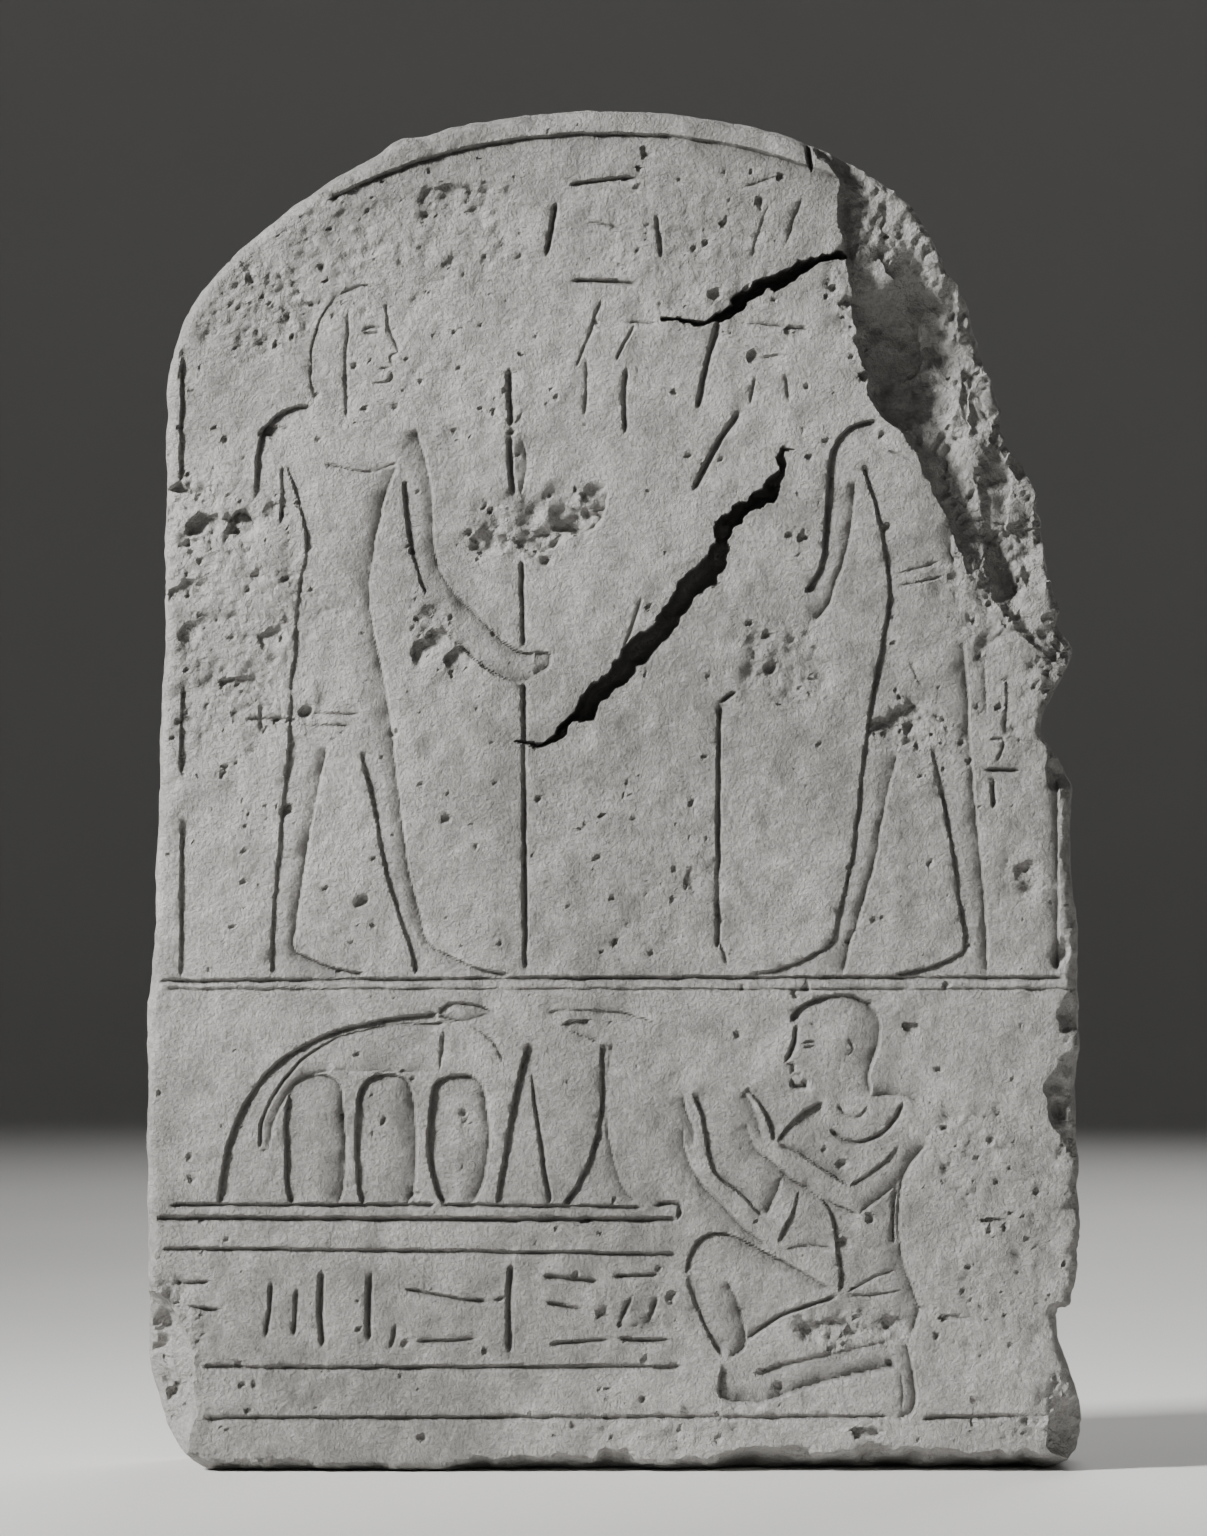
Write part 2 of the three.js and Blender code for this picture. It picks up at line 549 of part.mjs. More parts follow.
function offerings() {
  for (const middle of [-89, -68, -46.5]) loaf(middle, 17.4, 37);
  const above = (points) => points.map(([x, rise]) => [x, layout.matTop + rise]);
  // Bouquet bent over the loaves, with its bud
  cut(bold, above([[-118, 0], [-112.8, 23], [-101.4, 41], [-91, 49], [-78, 53], [-53, 56.3]]), -1);
  cut(plain, above([[-106.2, 17], [-100, 36], [-87, 49], [-72, 52.5], [-41, 53]]), -1);
  cut(plain, above([[-103.5, 17], [-99, 30], [-95, 36.6], [-88.8, 40], [-80, 40.5]]), 1);
  cut(light, above([[-80, 40.5], [-66, 40.3], [-53, 40]]), 1);
  cut(plain, above([[-53, 56.3], [-46, 59.4], [-36, 57]]), -1);
  cut(plain, above([[-53, 56.3], [-46, 54.8], [-36, 57]]), 1);
  // Pointed loaf
  cut(bold, above([[-35.4, 0], [-30.9, 27], [-25.8, 51.5]]), -1);
  cut(plain, above([[-25.8, 51.5], [-22.8, 27], [-19.5, 0]]), -1);
  // Stand and its bowl
  cut(bold, above([[-14.1, 0], [-8.7, 10.5], [-6, 17.7], [-4.2, 27.3], [-4.5, 47.7]]), -1);
  cut(light, above([[-0.9, 48], [-3, 37.8], [-2.4, 22], [-0.9, 10.5], [3.9, 0]]), -1);
  cut(plain, above([[-16.5, 52.5], [-10, 54.6], [-4.5, 55.2], [4, 54.8], [11.7, 52.8]]), -1);
  cut(light, above([[-16.5, 52.5], [-9, 49], [-3, 47.8], [5, 49], [11.7, 52.8]]), 1);
}

// Ruled lines: border, registers, mat and the row of strokes
function ruledLines() {
  const left = -slab.footWidth / 2;
  const right = slab.footWidth / 2;
  const { ground, groundGap, matTop, matLow, rowTop, rowLow, base } = layout;
  cut(bold, Array.from({ length: 9 }, (_, i) => archPoint(48 + (83 * i) / 8, layout.border)), -1);
  const borderLeft = left + sides.left.draw * 0.6 + layout.sideBorder;
  const borderRight = right - sides.right.draw * 0.1 - layout.sideBorder;
  for (const [low, high] of [[147, 194], [207, 234], [293, 334]]) {
    cut(plain, [[borderLeft, low], [borderLeft + 0.4, high]], -1);
  }
  cut(plain, [[borderRight, ground + 1.5], [borderRight, 206]], 1);
  cut(plain, [[left + 4, ground - 1], [0, ground], [right - 6, ground]]);
  cut(light, [[left + 6, ground - groundGap], [0, ground - groundGap], [right - 2, ground - groundGap]]);
  cut(plain, [[left + 7, matTop], [-53, matTop]]);
  cut(light, [[-44, matTop], [7, matTop]]);
  cut(bold, [[left + 3, matLow + 0.4], [-60, matLow], [18.6, matLow]]);
  cut(plain, [[18.6, matLow], [18.9, matTop], [11.4, matTop]]);
  cut(plain, [[left + 5, rowTop + 0.8], [-61, rowTop], [18.6, rowTop - 1]]);
  cut(plain, [[left + 16, rowLow], [-80, rowLow - 0.4], [20, rowLow]]);
  cut(plain, [[left + 17, base], [81, base + 0.4]]);
  cut(plain, [[91, base], [right - 3, base + 0.6]]);
}

function stroke(tool, x, z, length, angle) {
  const dx = (cos(angle * degrees) * length) / 2;
  const dz = (sin(angle * degrees) * length) / 2;
  cut(tool, [[x - dx, z - dz], [x + dx, z + dz]]);
}

// The row of writing is only worn strokes, in groups that take turns
function strokeRow() {
  const threeBars = (x, z) => [-9, 0, 9].forEach((rise) => stroke(plain, x, z + rise, 11, 0));
  const twoPosts = (x, z) => [-5, 5].forEach((aside) => stroke(plain, x + aside, z, 16, 90));
  const onePost = (x, z) => stroke(bold, x, z, 19, 88);
  const twoSlants = (x, z) => {
    stroke(plain, x, z + 6, 22, -14);
    stroke(plain, x, z - 7, 15, 2);
  };
  const groups = [threeBars, twoPosts, onePost, twoSlants];
  const middle = (layout.rowTop + layout.rowLow) / 2;
  for (let i = 0; i < 2 * groups.length; i++) groups[i % groups.length](-119 + i * 18.2, middle);
}

// Strokes in the field between and above the figures: x, z, length, angle
function fieldStrokes() {
  const strong = [
    [-4, 381, 26, 4], [-18, 370, 24, 88], [14, 368, 16, 85], [-3, 354, 22, 1], [3, 318, 20, 90],
  ];
  const fine = [
    [0, 370, 18, -3], [-8, 338, 22, 70], [0, 334, 14, 45], [-9, 322, 18, 88], [8, 341, 10, 0],
    [44, 366, 24, 80], [56, 372, 22, 115], [46, 384, 16, 20], [48, 339, 20, -4], [46, 329, 14, 0],
    [42, 322, 12, 88], [50, 326, 8, 90],
  ];
  const tall = [[28, 330, 30, 76], [30, 303, 28, 60], [-31, 319, 18, 92]];
  for (const s of strong) stroke(plain, ...s);
  for (const s of fine) stroke(light, ...s);
  for (const s of tall) stroke(bold, ...s);
}

// The bulb and shaft of the left staff, and the right staff with its bent head and forked foot
function staffLines() {
  const { left, right, topLeft, topRight, foot } = staffs;
  cut(bold, [[left - 4.3, topLeft], [left - 3, topLeft - 20], [left - 1.6, topLeft - 34]]);
  cut(plain, [[left - 0.6, 271], [left, 245]]);
  cut(plain, [[left, 235], [left + 0.6, foot]]);
  cut(plain, [[right, topRight], [right - 0.4, foot + 6]]);
  cut(plain, [[right, topRight], [right + 5.4, topRight + 4]]);
  cut(light, [[right - 0.4, foot + 10], [right + 2.6, foot + 1]]);
}

function stele() {
  ruledLines();
  leftFigure();
  rightFigure();
  staffLines();
  fieldStrokes();
  offerings();
  strokeRow();
  kneelingMan();
  const tools = [
    spallSolid(),
    crackSolid(crack.lower),
    crackSolid(crack.upper),
    ...hollows.map(hollowSolid),
    ...footChips(),
    ...cuts.map(wedgeSolid),
  ];
  return slabSolid().subtract(wasm.Manifold.union(tools));
}

const limestone = new THREE.MeshStandardMaterial({ color: 0xa9a59d, roughness: 0.92, metalness: 0 });
const geometry = geometryOf(stele());
geometry.computeBoundingBox();
const { min: low, max: high } = geometry.boundingBox;
const mesh = new THREE.Mesh(geometry, limestone);
mesh.name = "stele";
mesh.position.set(-(low.x + high.x) / 2, 0, -low.z); // the middle of the foot stands on the origin

const part = new THREE.Group();
part.add(mesh);

export default part;
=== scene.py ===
import bpy
import numpy as np
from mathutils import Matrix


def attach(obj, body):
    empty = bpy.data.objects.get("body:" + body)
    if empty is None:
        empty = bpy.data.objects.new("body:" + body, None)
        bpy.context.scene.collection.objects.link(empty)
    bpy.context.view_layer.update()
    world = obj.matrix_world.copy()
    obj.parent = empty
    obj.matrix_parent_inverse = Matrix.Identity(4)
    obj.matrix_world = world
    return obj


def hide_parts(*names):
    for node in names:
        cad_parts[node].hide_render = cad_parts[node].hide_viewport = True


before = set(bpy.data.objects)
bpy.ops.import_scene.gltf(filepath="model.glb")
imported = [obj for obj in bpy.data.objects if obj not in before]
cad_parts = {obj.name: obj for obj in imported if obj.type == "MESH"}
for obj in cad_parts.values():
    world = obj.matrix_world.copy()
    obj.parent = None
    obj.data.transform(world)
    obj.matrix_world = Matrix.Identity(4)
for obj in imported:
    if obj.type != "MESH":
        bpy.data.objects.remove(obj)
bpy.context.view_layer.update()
print("frame loaded")

camera = {
    "aim": (-0.0035, 0, 0.209),  # middle of the photograph, on the face
    "distance": 2.6,
    "faceAt": -0.031,
    "frameHeight": 0.4556,  # what the frame takes in at the face
    "sensor": 36,
}


# Looks straight at the face: focal length = sensor * distance to the face / height that the frame takes in
def placeCamera():
    data = bpy.data.cameras.new("camera")
    data.sensor_width = camera["sensor"]
    data.lens = camera["sensor"] * (camera["distance"] + camera["faceAt"]) / camera["frameHeight"]
    view = bpy.data.objects.new("camera", data)
    view.location = (camera["aim"][0], -camera["distance"], camera["aim"][2])
    view.rotation_euler = (np.pi / 2, 0, 0)
    bpy.context.scene.collection.objects.link(view)
    bpy.context.scene.camera = view


placeCamera()

# The stone, in millimetres: x runs right and z up over the face, and y into the stone
stele = {
    "height": 405,
    "springHeight": 320,  # where the sides turn into the arch
    "shoulder": 38,  # degrees of the arch that count as a side
    "footWidth": 279,
    "thickness": 62,
    "arris": 4,
    "waistHeight": 140,  # the sides draw in above this
    "leftDraw": (6, 0.5),  # how far a side has come in at the spring, and how it eases
    "rightDraw": (12, 1.1),
    "leftFoot": (21, 40),  # width and height of the broken foot corners
    "rightFoot": (12, 14),
    "chips": [  # x, z, reach and bite of what is gone from the outline
        (112, 340, 38, 18), (120, 318, 13, 6), (124, 280, 14, 2), (134, 243, 6, -4), (136, 222, 9, 7.5),
        (138, 204, 6, -1.5), (138, 34, 12, 12), (138, 95, 45, 2), (-104, 377, 32, 3), (-64, 394, 6, -1.5),
    ],
    "across": 560,  # steps of the face before it is thinned
    "up": 800,
    "coarser": 4,  # how much wider the steps of the sides and back are
    "edgeRows": 6,  # rows round the front edge, down the sides and round the back edge
    "sideRows": 26,
    "backEdgeRows": 4,
    "triangles": 192000,
    "sharpAngle": 38,
    "rightSide": (100, 130),  # x where the more ragged right side begins and is in full
    "slant": 0.93,  # a line to the slab's middle crosses the edge a little aslant
    "undulation": 1.55,
    "sideDressing": 1.2,
    "backDressing": 1.7,
    "edgeWear": 5.0,
}

# Chisels: width at the face, depth, and how far the inner side of a figure's line slopes
bold = {"width": 2.6, "depth": 2.6, "slope": 4.5}
plain = {"width": 2.1, "depth": 2.0, "slope": 3.8}
light = {"width": 1.5, "depth": 1.05, "slope": 2.0}
broad = {"width": 3.6, "depth": 3.4, "slope": 2}
notch = {"width": 2.2, "depth": 5, "slope": 2}
# How steady the carver's hand is: height and size of the slow wander and of the shake, in millimetres, and the
# force of the blows as a middle, a swing about it and the length of the swing
hand = {"wander": (0.25, 4), "shake": (0.12, 1.6), "force": (0.88, 0.22, 7)}

# Patches where the face is pitted: x, z, half width, half height, how rough, how much of a cut is lost
patches = [
    (-120, 283, 18, 13, 1.0, 1.0), (-114, 256, 22, 17, 0.75, 1.0), (-112, 234, 17, 11, 0.5, 0.8),
    (-24, 282, 22, 11, 0.65, 1.0), (-54, 246, 12, 13, 0.7, 0.6), (-46, 376, 18, 10, 0.7, 0.9),
    (12, 375, 11, 17, 0.45, 0.3), (44, 367, 14, 14, 0.4, 0.3), (52, 240, 19, 16, 0.7, 1.0),
    (88, 220, 14, 9, 0.9, 1.0), (-106, 347, 20, 18, 0.9, 0.9), (112, 262, 16, 20, 0.8, 0.9),
    (103, 98, 19, 13, 0.7, 0.6), (-131, 36, 10, 24, 0.9, 1.0), (69, 41, 18, 6, 1.0, 0.5),
    (122, 176, 6, 7, 0.6, 0.8), (24, 176, 8, 9, 0.5, 0.5), (-43, 106, 6, 11, 0.35, 0.2),
    (13, 49, 15, 10, 0.35, 0.2), (134, 20, 9, 16, 0.9, 1.0), (96, 210, 12, 8, 0.4, 0.4),
    (70, 350, 7, 26, 0.6, 0.6), (-92, 372, 16, 10, 0.4, 0.5), (124, 224, 10, 12, 0.6, 0.6),
    (131, 232, 9, 16, 1.0, 1.0), (136, 205, 5, 30, 0.8, 0.4), (137, 110, 5, 70, 0.7, 0.3),
    (126, 12, 12, 6, 0.9, 1.0), (-60, 365, 45, 22, 0.55, 0.2), (-112, 250, 27, 48, 0.75, 0.4),
    (25, 365, 35, 22, 0.4, 0.1), (-95, 190, 35, 30, 0.25, 0.1), (10, 190, 40, 35, 0.2, 0),
    (-100, 22, 40, 10, 0.4, 0.2), (30, 15, 60, 9, 0.4, 0.2), (113, 60, 20, 45, 0.35, 0.1),
    (-57, 320, 40, 30, 0.3, 0.05),
]
# Hollows where the face has flaked off: x, z, half width, half height, depth, and the side that is steep,
# which is 1 for the lower right and -1 for the upper left
hollows = [
    (-128, 288, 7, 5, 3.4, -1), (-121, 281, 6, 4, 2.8, -1), (-110, 281, 7, 4.5, 3.4, -1), (-24, 284, 21, 10, 2.2, 1),
    (-38, 276.5, 7, 4, 2.6, 1), (-25, 277, 10, 4.5, 3.4, 1), (-13, 283, 10, 5, 4.2, 1), (-7, 290, 5, 6, 3.2, 1),
    (-57, 243, 4, 5, 2.0, -1), (-51, 247, 5, 3.5, 1.8, -1), (-45, 241, 5, 4, 1.8, -1), (-44, 377, 12, 7, 1.4, -1),
    (-125, 261, 7, 4, 2.0, -1), (-126, 249, 4, 4, 1.6, -1), (-101, 248, 5, 4, 2.0, -1), (-111, 233, 6, 4, 1.6, -1),
    (-100.5, 308.5, 5, 2.5, 1.8, -1), (-134.5, 45, 4, 4, 1.8, 1),
    (89, 220, 12, 7, 2.0, -1), (123, 176, 5, 6, 0.9, -1), (66, 42, 10, 4, 1.2, -1), (88.5, 132, 3, 2, 1.6, -1),
    (113, 74.4, 4.2, 1.3, 1.5, -1), (75, 11.6, 5, 2, 2.0, -1), (75, 325, 4, 2.4, 2.5, -1), (-53, 374, 6, 4, 1.0, -1),
    (56, 338, 3, 2, 1.0, -1), (52, 339, 2, 1.6, 1.2, -1), (24, 176, 3, 5, 1.0, -1), (-100, 285, 5, 3, 1.0, -1),
    (102, 45.5, 6.5, 1.3, 1.2, -1), (60, 41, 7, 3.4, 1.4, -1), (83, 44, 4, 3, 1.3, -1), (-60, 398, 5, 2, 1.0, -1),
]
# The break at the upper right: its edge from the arch down, and the surface beyond it
spall = {
    "edge": [
        (56, 410), (57, 395), (66, 384), (65, 370), (67, 360), (71, 349), (71, 337), (75, 325), (80, 313),
        (88, 304), (94, 292), (100, 280), (105, 268), (112, 259), (121, 248), (131, 240), (146, 236),
    ],
    "drop": [  # z, and how far the surface falls there
        (236, 1.5), (262, 2.5), (280, 4.5), (304, 7), (318, 10), (335, 13), (347, 12.5), (355, 7), (364, 3),
        (385, 2), (405, 2),
    ],
    "run": 1.8,
    "slope": 0.16,
    "jag": [(1.8, 12), (0.9, 3)],  # height and size of the edge's teeth
    "bend": (3, 11),
    "facets": (1.3, 11),  # height and size of the broken faces
    "crumb": (2.3, 8),  # of the rubble on them
    "chippings": (1.6, 3.4),  # and of the finest bits
    # Mounds: x, z, half width, half height, how far they lean, and how deep they lie, or stand out below 0
    "mounds": [
        (69, 387, 4.5, 5, 1, 7), (83, 388, 4, 3, 0, 4), (110, 320, 7, 22, 0, -2.4), (109, 292, 6, 14, 0, -2),
    ],
    "cleft": 3,  # depth beside the edge, near the top
    "gash": (116, 264, 0.24, 3.2, 4.5),  # x, z, lean, half width and depth
}
# Open crack: x, z and width along it
crack = {
    "depth": 13,
    "wander": (1.7, 6),  # height and size of the bends of the line, and of the jags on them
    "jags": (1.1, 2.4),
    "opening": (1.55, 0.35, 4),  # times the width: a middle, a swing about it and the length of the swing
    "wall": 0.3,  # lower is steeper
    "lip": (0.9, 1.2),  # depth and reach of the worn lip
    "lower": [
        (-29, 216, 0.7), (-16, 218, 1.6), (-10, 225, 2.6), (-5, 231, 4.2), (1, 237, 4.4), (7, 244, 5.2),
        (14, 251, 4.6), (22, 262, 3.8), (29, 269, 4.2), (31, 275, 3.4), (32, 280, 2.8), (38, 287, 2.6),
        (45, 291, 3), (49, 296, 1.6), (49, 303, 1.0), (53, 303, 0.6),
    ],
    "upper": [
        (14, 342, 0.6), (20, 342, 1.2), (25, 340, 1.1), (35, 345, 2), (39, 350, 2.6), (49, 354, 3.3),
        (57, 359, 2.2), (67, 361, 1.4),
    ],
}


# A whole number from three whole numbers, the same on every run, as 0 to 1
def scrambled(a, b, c, seed):
    mixed = (a * 73856093) ^ (b * 19349663) ^ (c * 83492791) ^ (seed * 2654435761)
    mixed = ((mixed ^ (mixed >> 13)) * 1274126177) & 0xFFFFFFFF
    mixed = ((mixed ^ (mixed >> 15)) * 2246822519) & 0xFFFFFFFF
    return ((mixed ^ (mixed >> 16)) & 0xFFFFFF) / 16777215.0


# Smooth noise from -1 to 1: random values on a lattice of cells, blended by 3t^2 - 2t^3 across each cell.
# The lattice is turned, so that none of its rows runs along the face.
def grain(x, y, z, size, seed):
    turned = (0.36 * x + 0.48 * y - 0.8 * z, 0.6 * y - 0.8 * x, 0.48 * x + 0.64 * y + 0.6 * z)
    spots = [np.asarray(v, float) / size + 1000.0 for v in turned]
    cells = [np.floor(v).astype(np.int64) for v in spots]
    ease = [(v - c) * (v - c) * (3 - 2 * (v - c)) for v, c in zip(spots, cells)]
    total = np.zeros(np.broadcast(*spots).shape)
    for corner in range(8):
        near = [(corner >> k) & 1 for k in range(3)]
        share = 1.0
        for e, n in zip(ease, near):
            share = share * (e if n else 1 - e)
        total += share * scrambled(cells[0] + near[0], cells[1] + near[1], cells[2] + near[2], seed)
    return total * 2 - 1


# Noise summed over octaves, each half the size and half the height of the last
def fractal(x, y, z, size, octaves, seed):
    return sum(grain(x, y, z, size / 2**k, seed + k) / 2**k for k in range(octaves))


# Broken faces: each point belongs to the nearest of scattered centres, and takes that centre's height and tilt
def facets(a, b, size, seed):
    cellA, cellB = np.floor(a / size).astype(np.int64), np.floor(b / size).astype(np.int64)
    best = np.full(a.shape, 9.0)
    face = np.zeros(a.shape)
    for stepA in (-1, 0, 1):
        for stepB in (-1, 0, 1):
            ca, cb = cellA + stepA, cellB + stepB
            offA = a / size - ca - scrambled(ca, cb, 1, seed)
            offB = b / size - cb - scrambled(ca, cb, 2, seed)
            gap = offA * offA + offB * offB
            tilt = (scrambled(ca, cb, 3, seed) - 0.5) * offA + (scrambled(ca, cb, 4, seed) - 0.5) * offB
            height = scrambled(ca, cb, 5, seed) - 0.5 + 1.6 * tilt
            face = np.where(gap < best, height, face)
            best = np.minimum(gap, best)
    return face


# Round pits: each cell of a lattice holds one with the chance given, with a place and radius of its own. Its depth
# is the radius times 1 - (distance / radius)^2.
def craters(x, z, size, seed, chance):
    a, b = (0.8 * x + 0.6 * z) / size + 1000, (0.8 * z - 0.6 * x) / size + 1000
    a, b = a + 0.25 * grain(x, 0, z, size * 0.45, seed + 1), b + 0.25 * grain(x, 0, z, size * 0.45, seed + 2)
    cellA, cellB = np.floor(a).astype(np.int64), np.floor(b).astype(np.int64)
    depth = np.zeros(a.shape)
    for stepA in (-1, 0, 1):
        for stepB in (-1, 0, 1):
            ca, cb = cellA + stepA, cellB + stepB
            gap = np.hypot(a - ca - scrambled(ca, cb, 1, seed), b - cb - scrambled(ca, cb, 2, seed))
            radius = 0.16 + 0.42 * scrambled(ca, cb, 3, seed) ** 2
            held = scrambled(ca, cb, 4, seed) < chance
            depth = np.maximum(depth, held * radius * np.clip(1 - (gap / radius) ** 2, 0, 1))
    return depth * size


# Smooth step: 0 up to low, 1 from high, 3t^2 - 2t^3 between
def eased(value, low, high):
    t = np.clip((value - low) / (high - low), 0, 1)
    return t * t * (3 - 2 * t)


# Half of the slab's width at a height: the foot's half width less the draw, which grows as a power of the rise
def sideReach(z, draw):
    rise = np.clip((z - stele["waistHeight"]) / (stele["springHeight"] - stele["waistHeight"]), 0, None)
    return stele["footWidth"] / 2 - draw[0] * rise ** draw[1]


# The arch: a half ellipse on the spring line, from the left (0) to the right (180 degrees)
def archLine(angles, inset=0.0):
    left, right = stele["leftDraw"][0], stele["rightDraw"][0]
    span = (stele["footWidth"] - left - right) / 2 - inset
    rise = stele["height"] - stele["springHeight"] - inset
    turn = np.radians(angles)
    return np.stack([(left - right) / 2 - span * np.cos(turn), stele["springHeight"] + rise * np.sin(turn)], 1)


# A quarter ellipse where a foot corner is gone, from the side (0) to the underside (1)
def footCorner(sign, size, share):
    turn = share * np.pi / 2
    return np.stack(
        [sign * (stele["footWidth"] / 2 - size[0] * (1 - np.cos(turn))), size[1] * (1 - np.sin(turn))], 1
    )


# Lengths along a line, and the line set out again at equal steps
def lengths(points):
    return np.concatenate([[0], np.cumsum(np.hypot(*np.diff(points, axis=0).T))])


def respaced(points, count):
    along = lengths(points)
    wanted = np.linspace(0, along[-1], count + 1)
    return np.stack([np.interp(wanted, along, points[:, k]) for k in range(points.shape[1])], 1)


# The four sides of the outline, running round anticlockwise: underside, right, arch, left
def outlineSides():
    share = np.linspace(0, 1, 40)
    spring, shoulder = stele["springHeight"], stele["shoulder"]
    rightZ = np.linspace(stele["rightFoot"][1], spring, 400)
    leftZ = np.linspace(spring, stele["leftFoot"][1], 400)
    under = np.concatenate([
        footCorner(-1, stele["leftFoot"], 0.5 + share / 2),
        footCorner(1, stele["rightFoot"], 1 - share / 2),
    ])
    right = np.concatenate([
        footCorner(1, stele["rightFoot"], 0.5 - share / 2)[:-1],
        np.stack([sideReach(rightZ, stele["rightDraw"]), rightZ], 1),
        archLine(np.linspace(180, 180 - shoulder, 120))[1:],
    ])
    top = archLine(np.linspace(180 - shoulder, shoulder, 400))
    left = np.concatenate([
        archLine(np.linspace(shoulder, 0, 120))[:-1],
        np.stack([-sideReach(leftZ, stele["leftDraw"]), leftZ], 1),
        footCorner(-1, stele["leftFoot"], share / 2)[1:],
    ])
    steps = (stele["across"], stele["up"], stele["across"], stele["up"])
    return [respaced(side, count)[:-1] for side, count in zip((under, right, top, left), steps)]


# How ragged the outline is: height in millimetres and size of each kind of wear, and where it begins and is in full
outlineWear = {
    "everywhere": 0.3,
    "right": 0.8,  # more on the right side
    "rightZ": (60, 110),
    "size": 15,
    "lowRight": (1.8, 8),
    "lowZ": (60, 85),
    "broken": (2.6, 14),
    "brokenX": (60, 90),
    "brokenZ": (225, 250),
    "level": 7,  # height over which the wear fades out, so that the foot stays level
}


# Chips and hand dressing draw each outline point towards the middle of the slab: its distance from there is less by
# the sum of the bites, each chip's being its depth times exp(-(distance / reach)^2)
def dressedOutline(points):
    x, z = points.T
    bite = sum(deep * np.exp(-(((x - cx) ** 2 + (z - cz) ** 2) / reach**2)) for cx, cz, reach, deep in stele["chips"])
    rightSide = eased(x, *stele["rightSide"])
    ragged = outlineWear["everywhere"] + outlineWear["right"] * rightSide * eased(z, *outlineWear["rightZ"])
    bite = bite + ragged * (fractal(x, 0, z, outlineWear["size"], 4, 11) + 0.6)
    height, size = outlineWear["lowRight"]
    bite = bite + height * rightSide * (1 - eased(z, *outlineWear["lowZ"])) * fractal(x, 0, z, size, 4, 13)
    height, size = outlineWear["broken"]
    broken = eased(x, *outlineWear["brokenX"]) * eased(z, *outlineWear["brokenZ"])
    bite = bite + broken * (height * np.abs(fractal(x, 0, z, size, 4, 12)) - 0.6)
    middle = stele["height"] / 2
    shrink = 1 - bite * np.clip(z / outlineWear["level"], 0, 1) / np.hypot(x, z - middle)
    return np.stack([x * shrink, middle + (z - middle) * shrink], 1)


# Unit vectors out of a closed line, from its slope evened over a few millimetres
def outwards(points, window=9):
    slope = np.roll(points, -window, 0) - np.roll(points, window, 0)
    normal = np.stack([slope[:, 1], -slope[:, 0]], 1)
    return normal / np.linalg.norm(normal, axis=1, keepdims=True)


strokes = []


# A smooth line through the points: the cubic of each span has the slope of its neighbours
def smoothLine(points):
    points = np.asarray(points, float)
    if len(points) < 3:
        return points
    ends = np.concatenate([points[:1], points, points[-1:]])
    t = np.linspace(0, 1, 7)[:-1, None]
    spans = []
    for a, b, c, d in zip(ends, ends[1:], ends[2:], ends[3:]):
        spans.append(
            b + 0.5 * t * (c - a) + t**2 * (a - 2.5 * b + 2 * c - 0.5 * d) + t**3 * (1.5 * (b - c) + 0.5 * (d - a))
        )
    return np.concatenate([*spans, points[-1:]])


# Adds a cut: inside is 1 where the figure lies on the left of the line, -1 on the right, 0 for a line on its own
def cut(tool, points, inside=0):
    strokes.append((tool, smoothLine(points), inside))


# Signed distance from points to a line, positive on its left, and how far along the line each is
def fromLine(x, z, line):
    nearest = np.full(x.shape, 1e9)
    side = np.ones(x.shape)
    along = np.zeros(x.shape)
    done = 0.0
    for a, b in zip(line, line[1:]):
        dx, dz = b[:2] - a[:2]
        run = np.hypot(dx, dz)
        t = np.clip(((x - a[0]) * dx + (z - a[1]) * dz) / (run * run), 0, 1)
        gap = np.hypot(x - a[0] - t * dx, z - a[1] - t * dz)
        closer = gap < nearest
        nearest = np.where(closer, gap, nearest)
        side = np.where(closer, np.where(dx * (z - a[1]) - dz * (x - a[0]) > 0, 1, -1), side)
        along = np.where(closer, done + t * run, along)
        done += run
    return nearest * side, along, done


# The numbers of the points inside a line's box, widened by its reach
def nearLine(x, z, line, reach):
    low, high = line[:, :2].min(0) - reach, line[:, :2].max(0) + reach
    return np.flatnonzero((x > low[0]) & (x < high[0]) & (z > low[1]) & (z < high[1]))


# Depth of all the cuts. A line on its own is a V. A figure's line falls steeply from outside and comes up
# towards the figure as exp(-1.5 (s / slope)^0.85), so the body inside stands rounded.
def carvedDepth(x, z):
    depth = np.zeros(x.shape)
    (wander, wanderSize), (shake, shakeSize) = hand["wander"], hand["shake"]
    middle, swing, swingSize = hand["force"]
    wobbleX = x + wander * grain(x, 0, z, wanderSize, 21) + shake * grain(x, 0, z, shakeSize, 23)
    wobbleZ = z + wander * grain(x, 0, z, wanderSize, 22) + shake * grain(x, 0, z, shakeSize, 24)
    for number, (tool, line, inside) in enumerate(strokes):
        reach = tool["width"] + 2.2 * tool["slope"]
        near = nearLine(x, z, line, reach)
        if not near.size:
            continue
        signed, along, total = fromLine(wobbleX[near], wobbleZ[near], line)
        taper = eased(np.minimum(along, total - along), -0.4, 2.2)
        force = middle + swing * grain(along, number * 7.0, 0, swingSize, 31)
        half = tool["width"] / 2 * (0.45 + 0.55 * taper)
        if inside:
            within = signed * inside
            outer = np.clip(1 + within / (0.62 * half), 0, 1)
            inner = np.exp(-((np.maximum(within, 0) / tool["slope"]) ** 0.85) * 1.5)
            shape = np.where(within < 0, outer, inner)
        else:
            shape = np.clip(1.15 * (1 - np.abs(signed) / half), 0, 1)
        depth[near] = np.maximum(depth[near], tool["depth"] * force * taper * shape)
    return depth


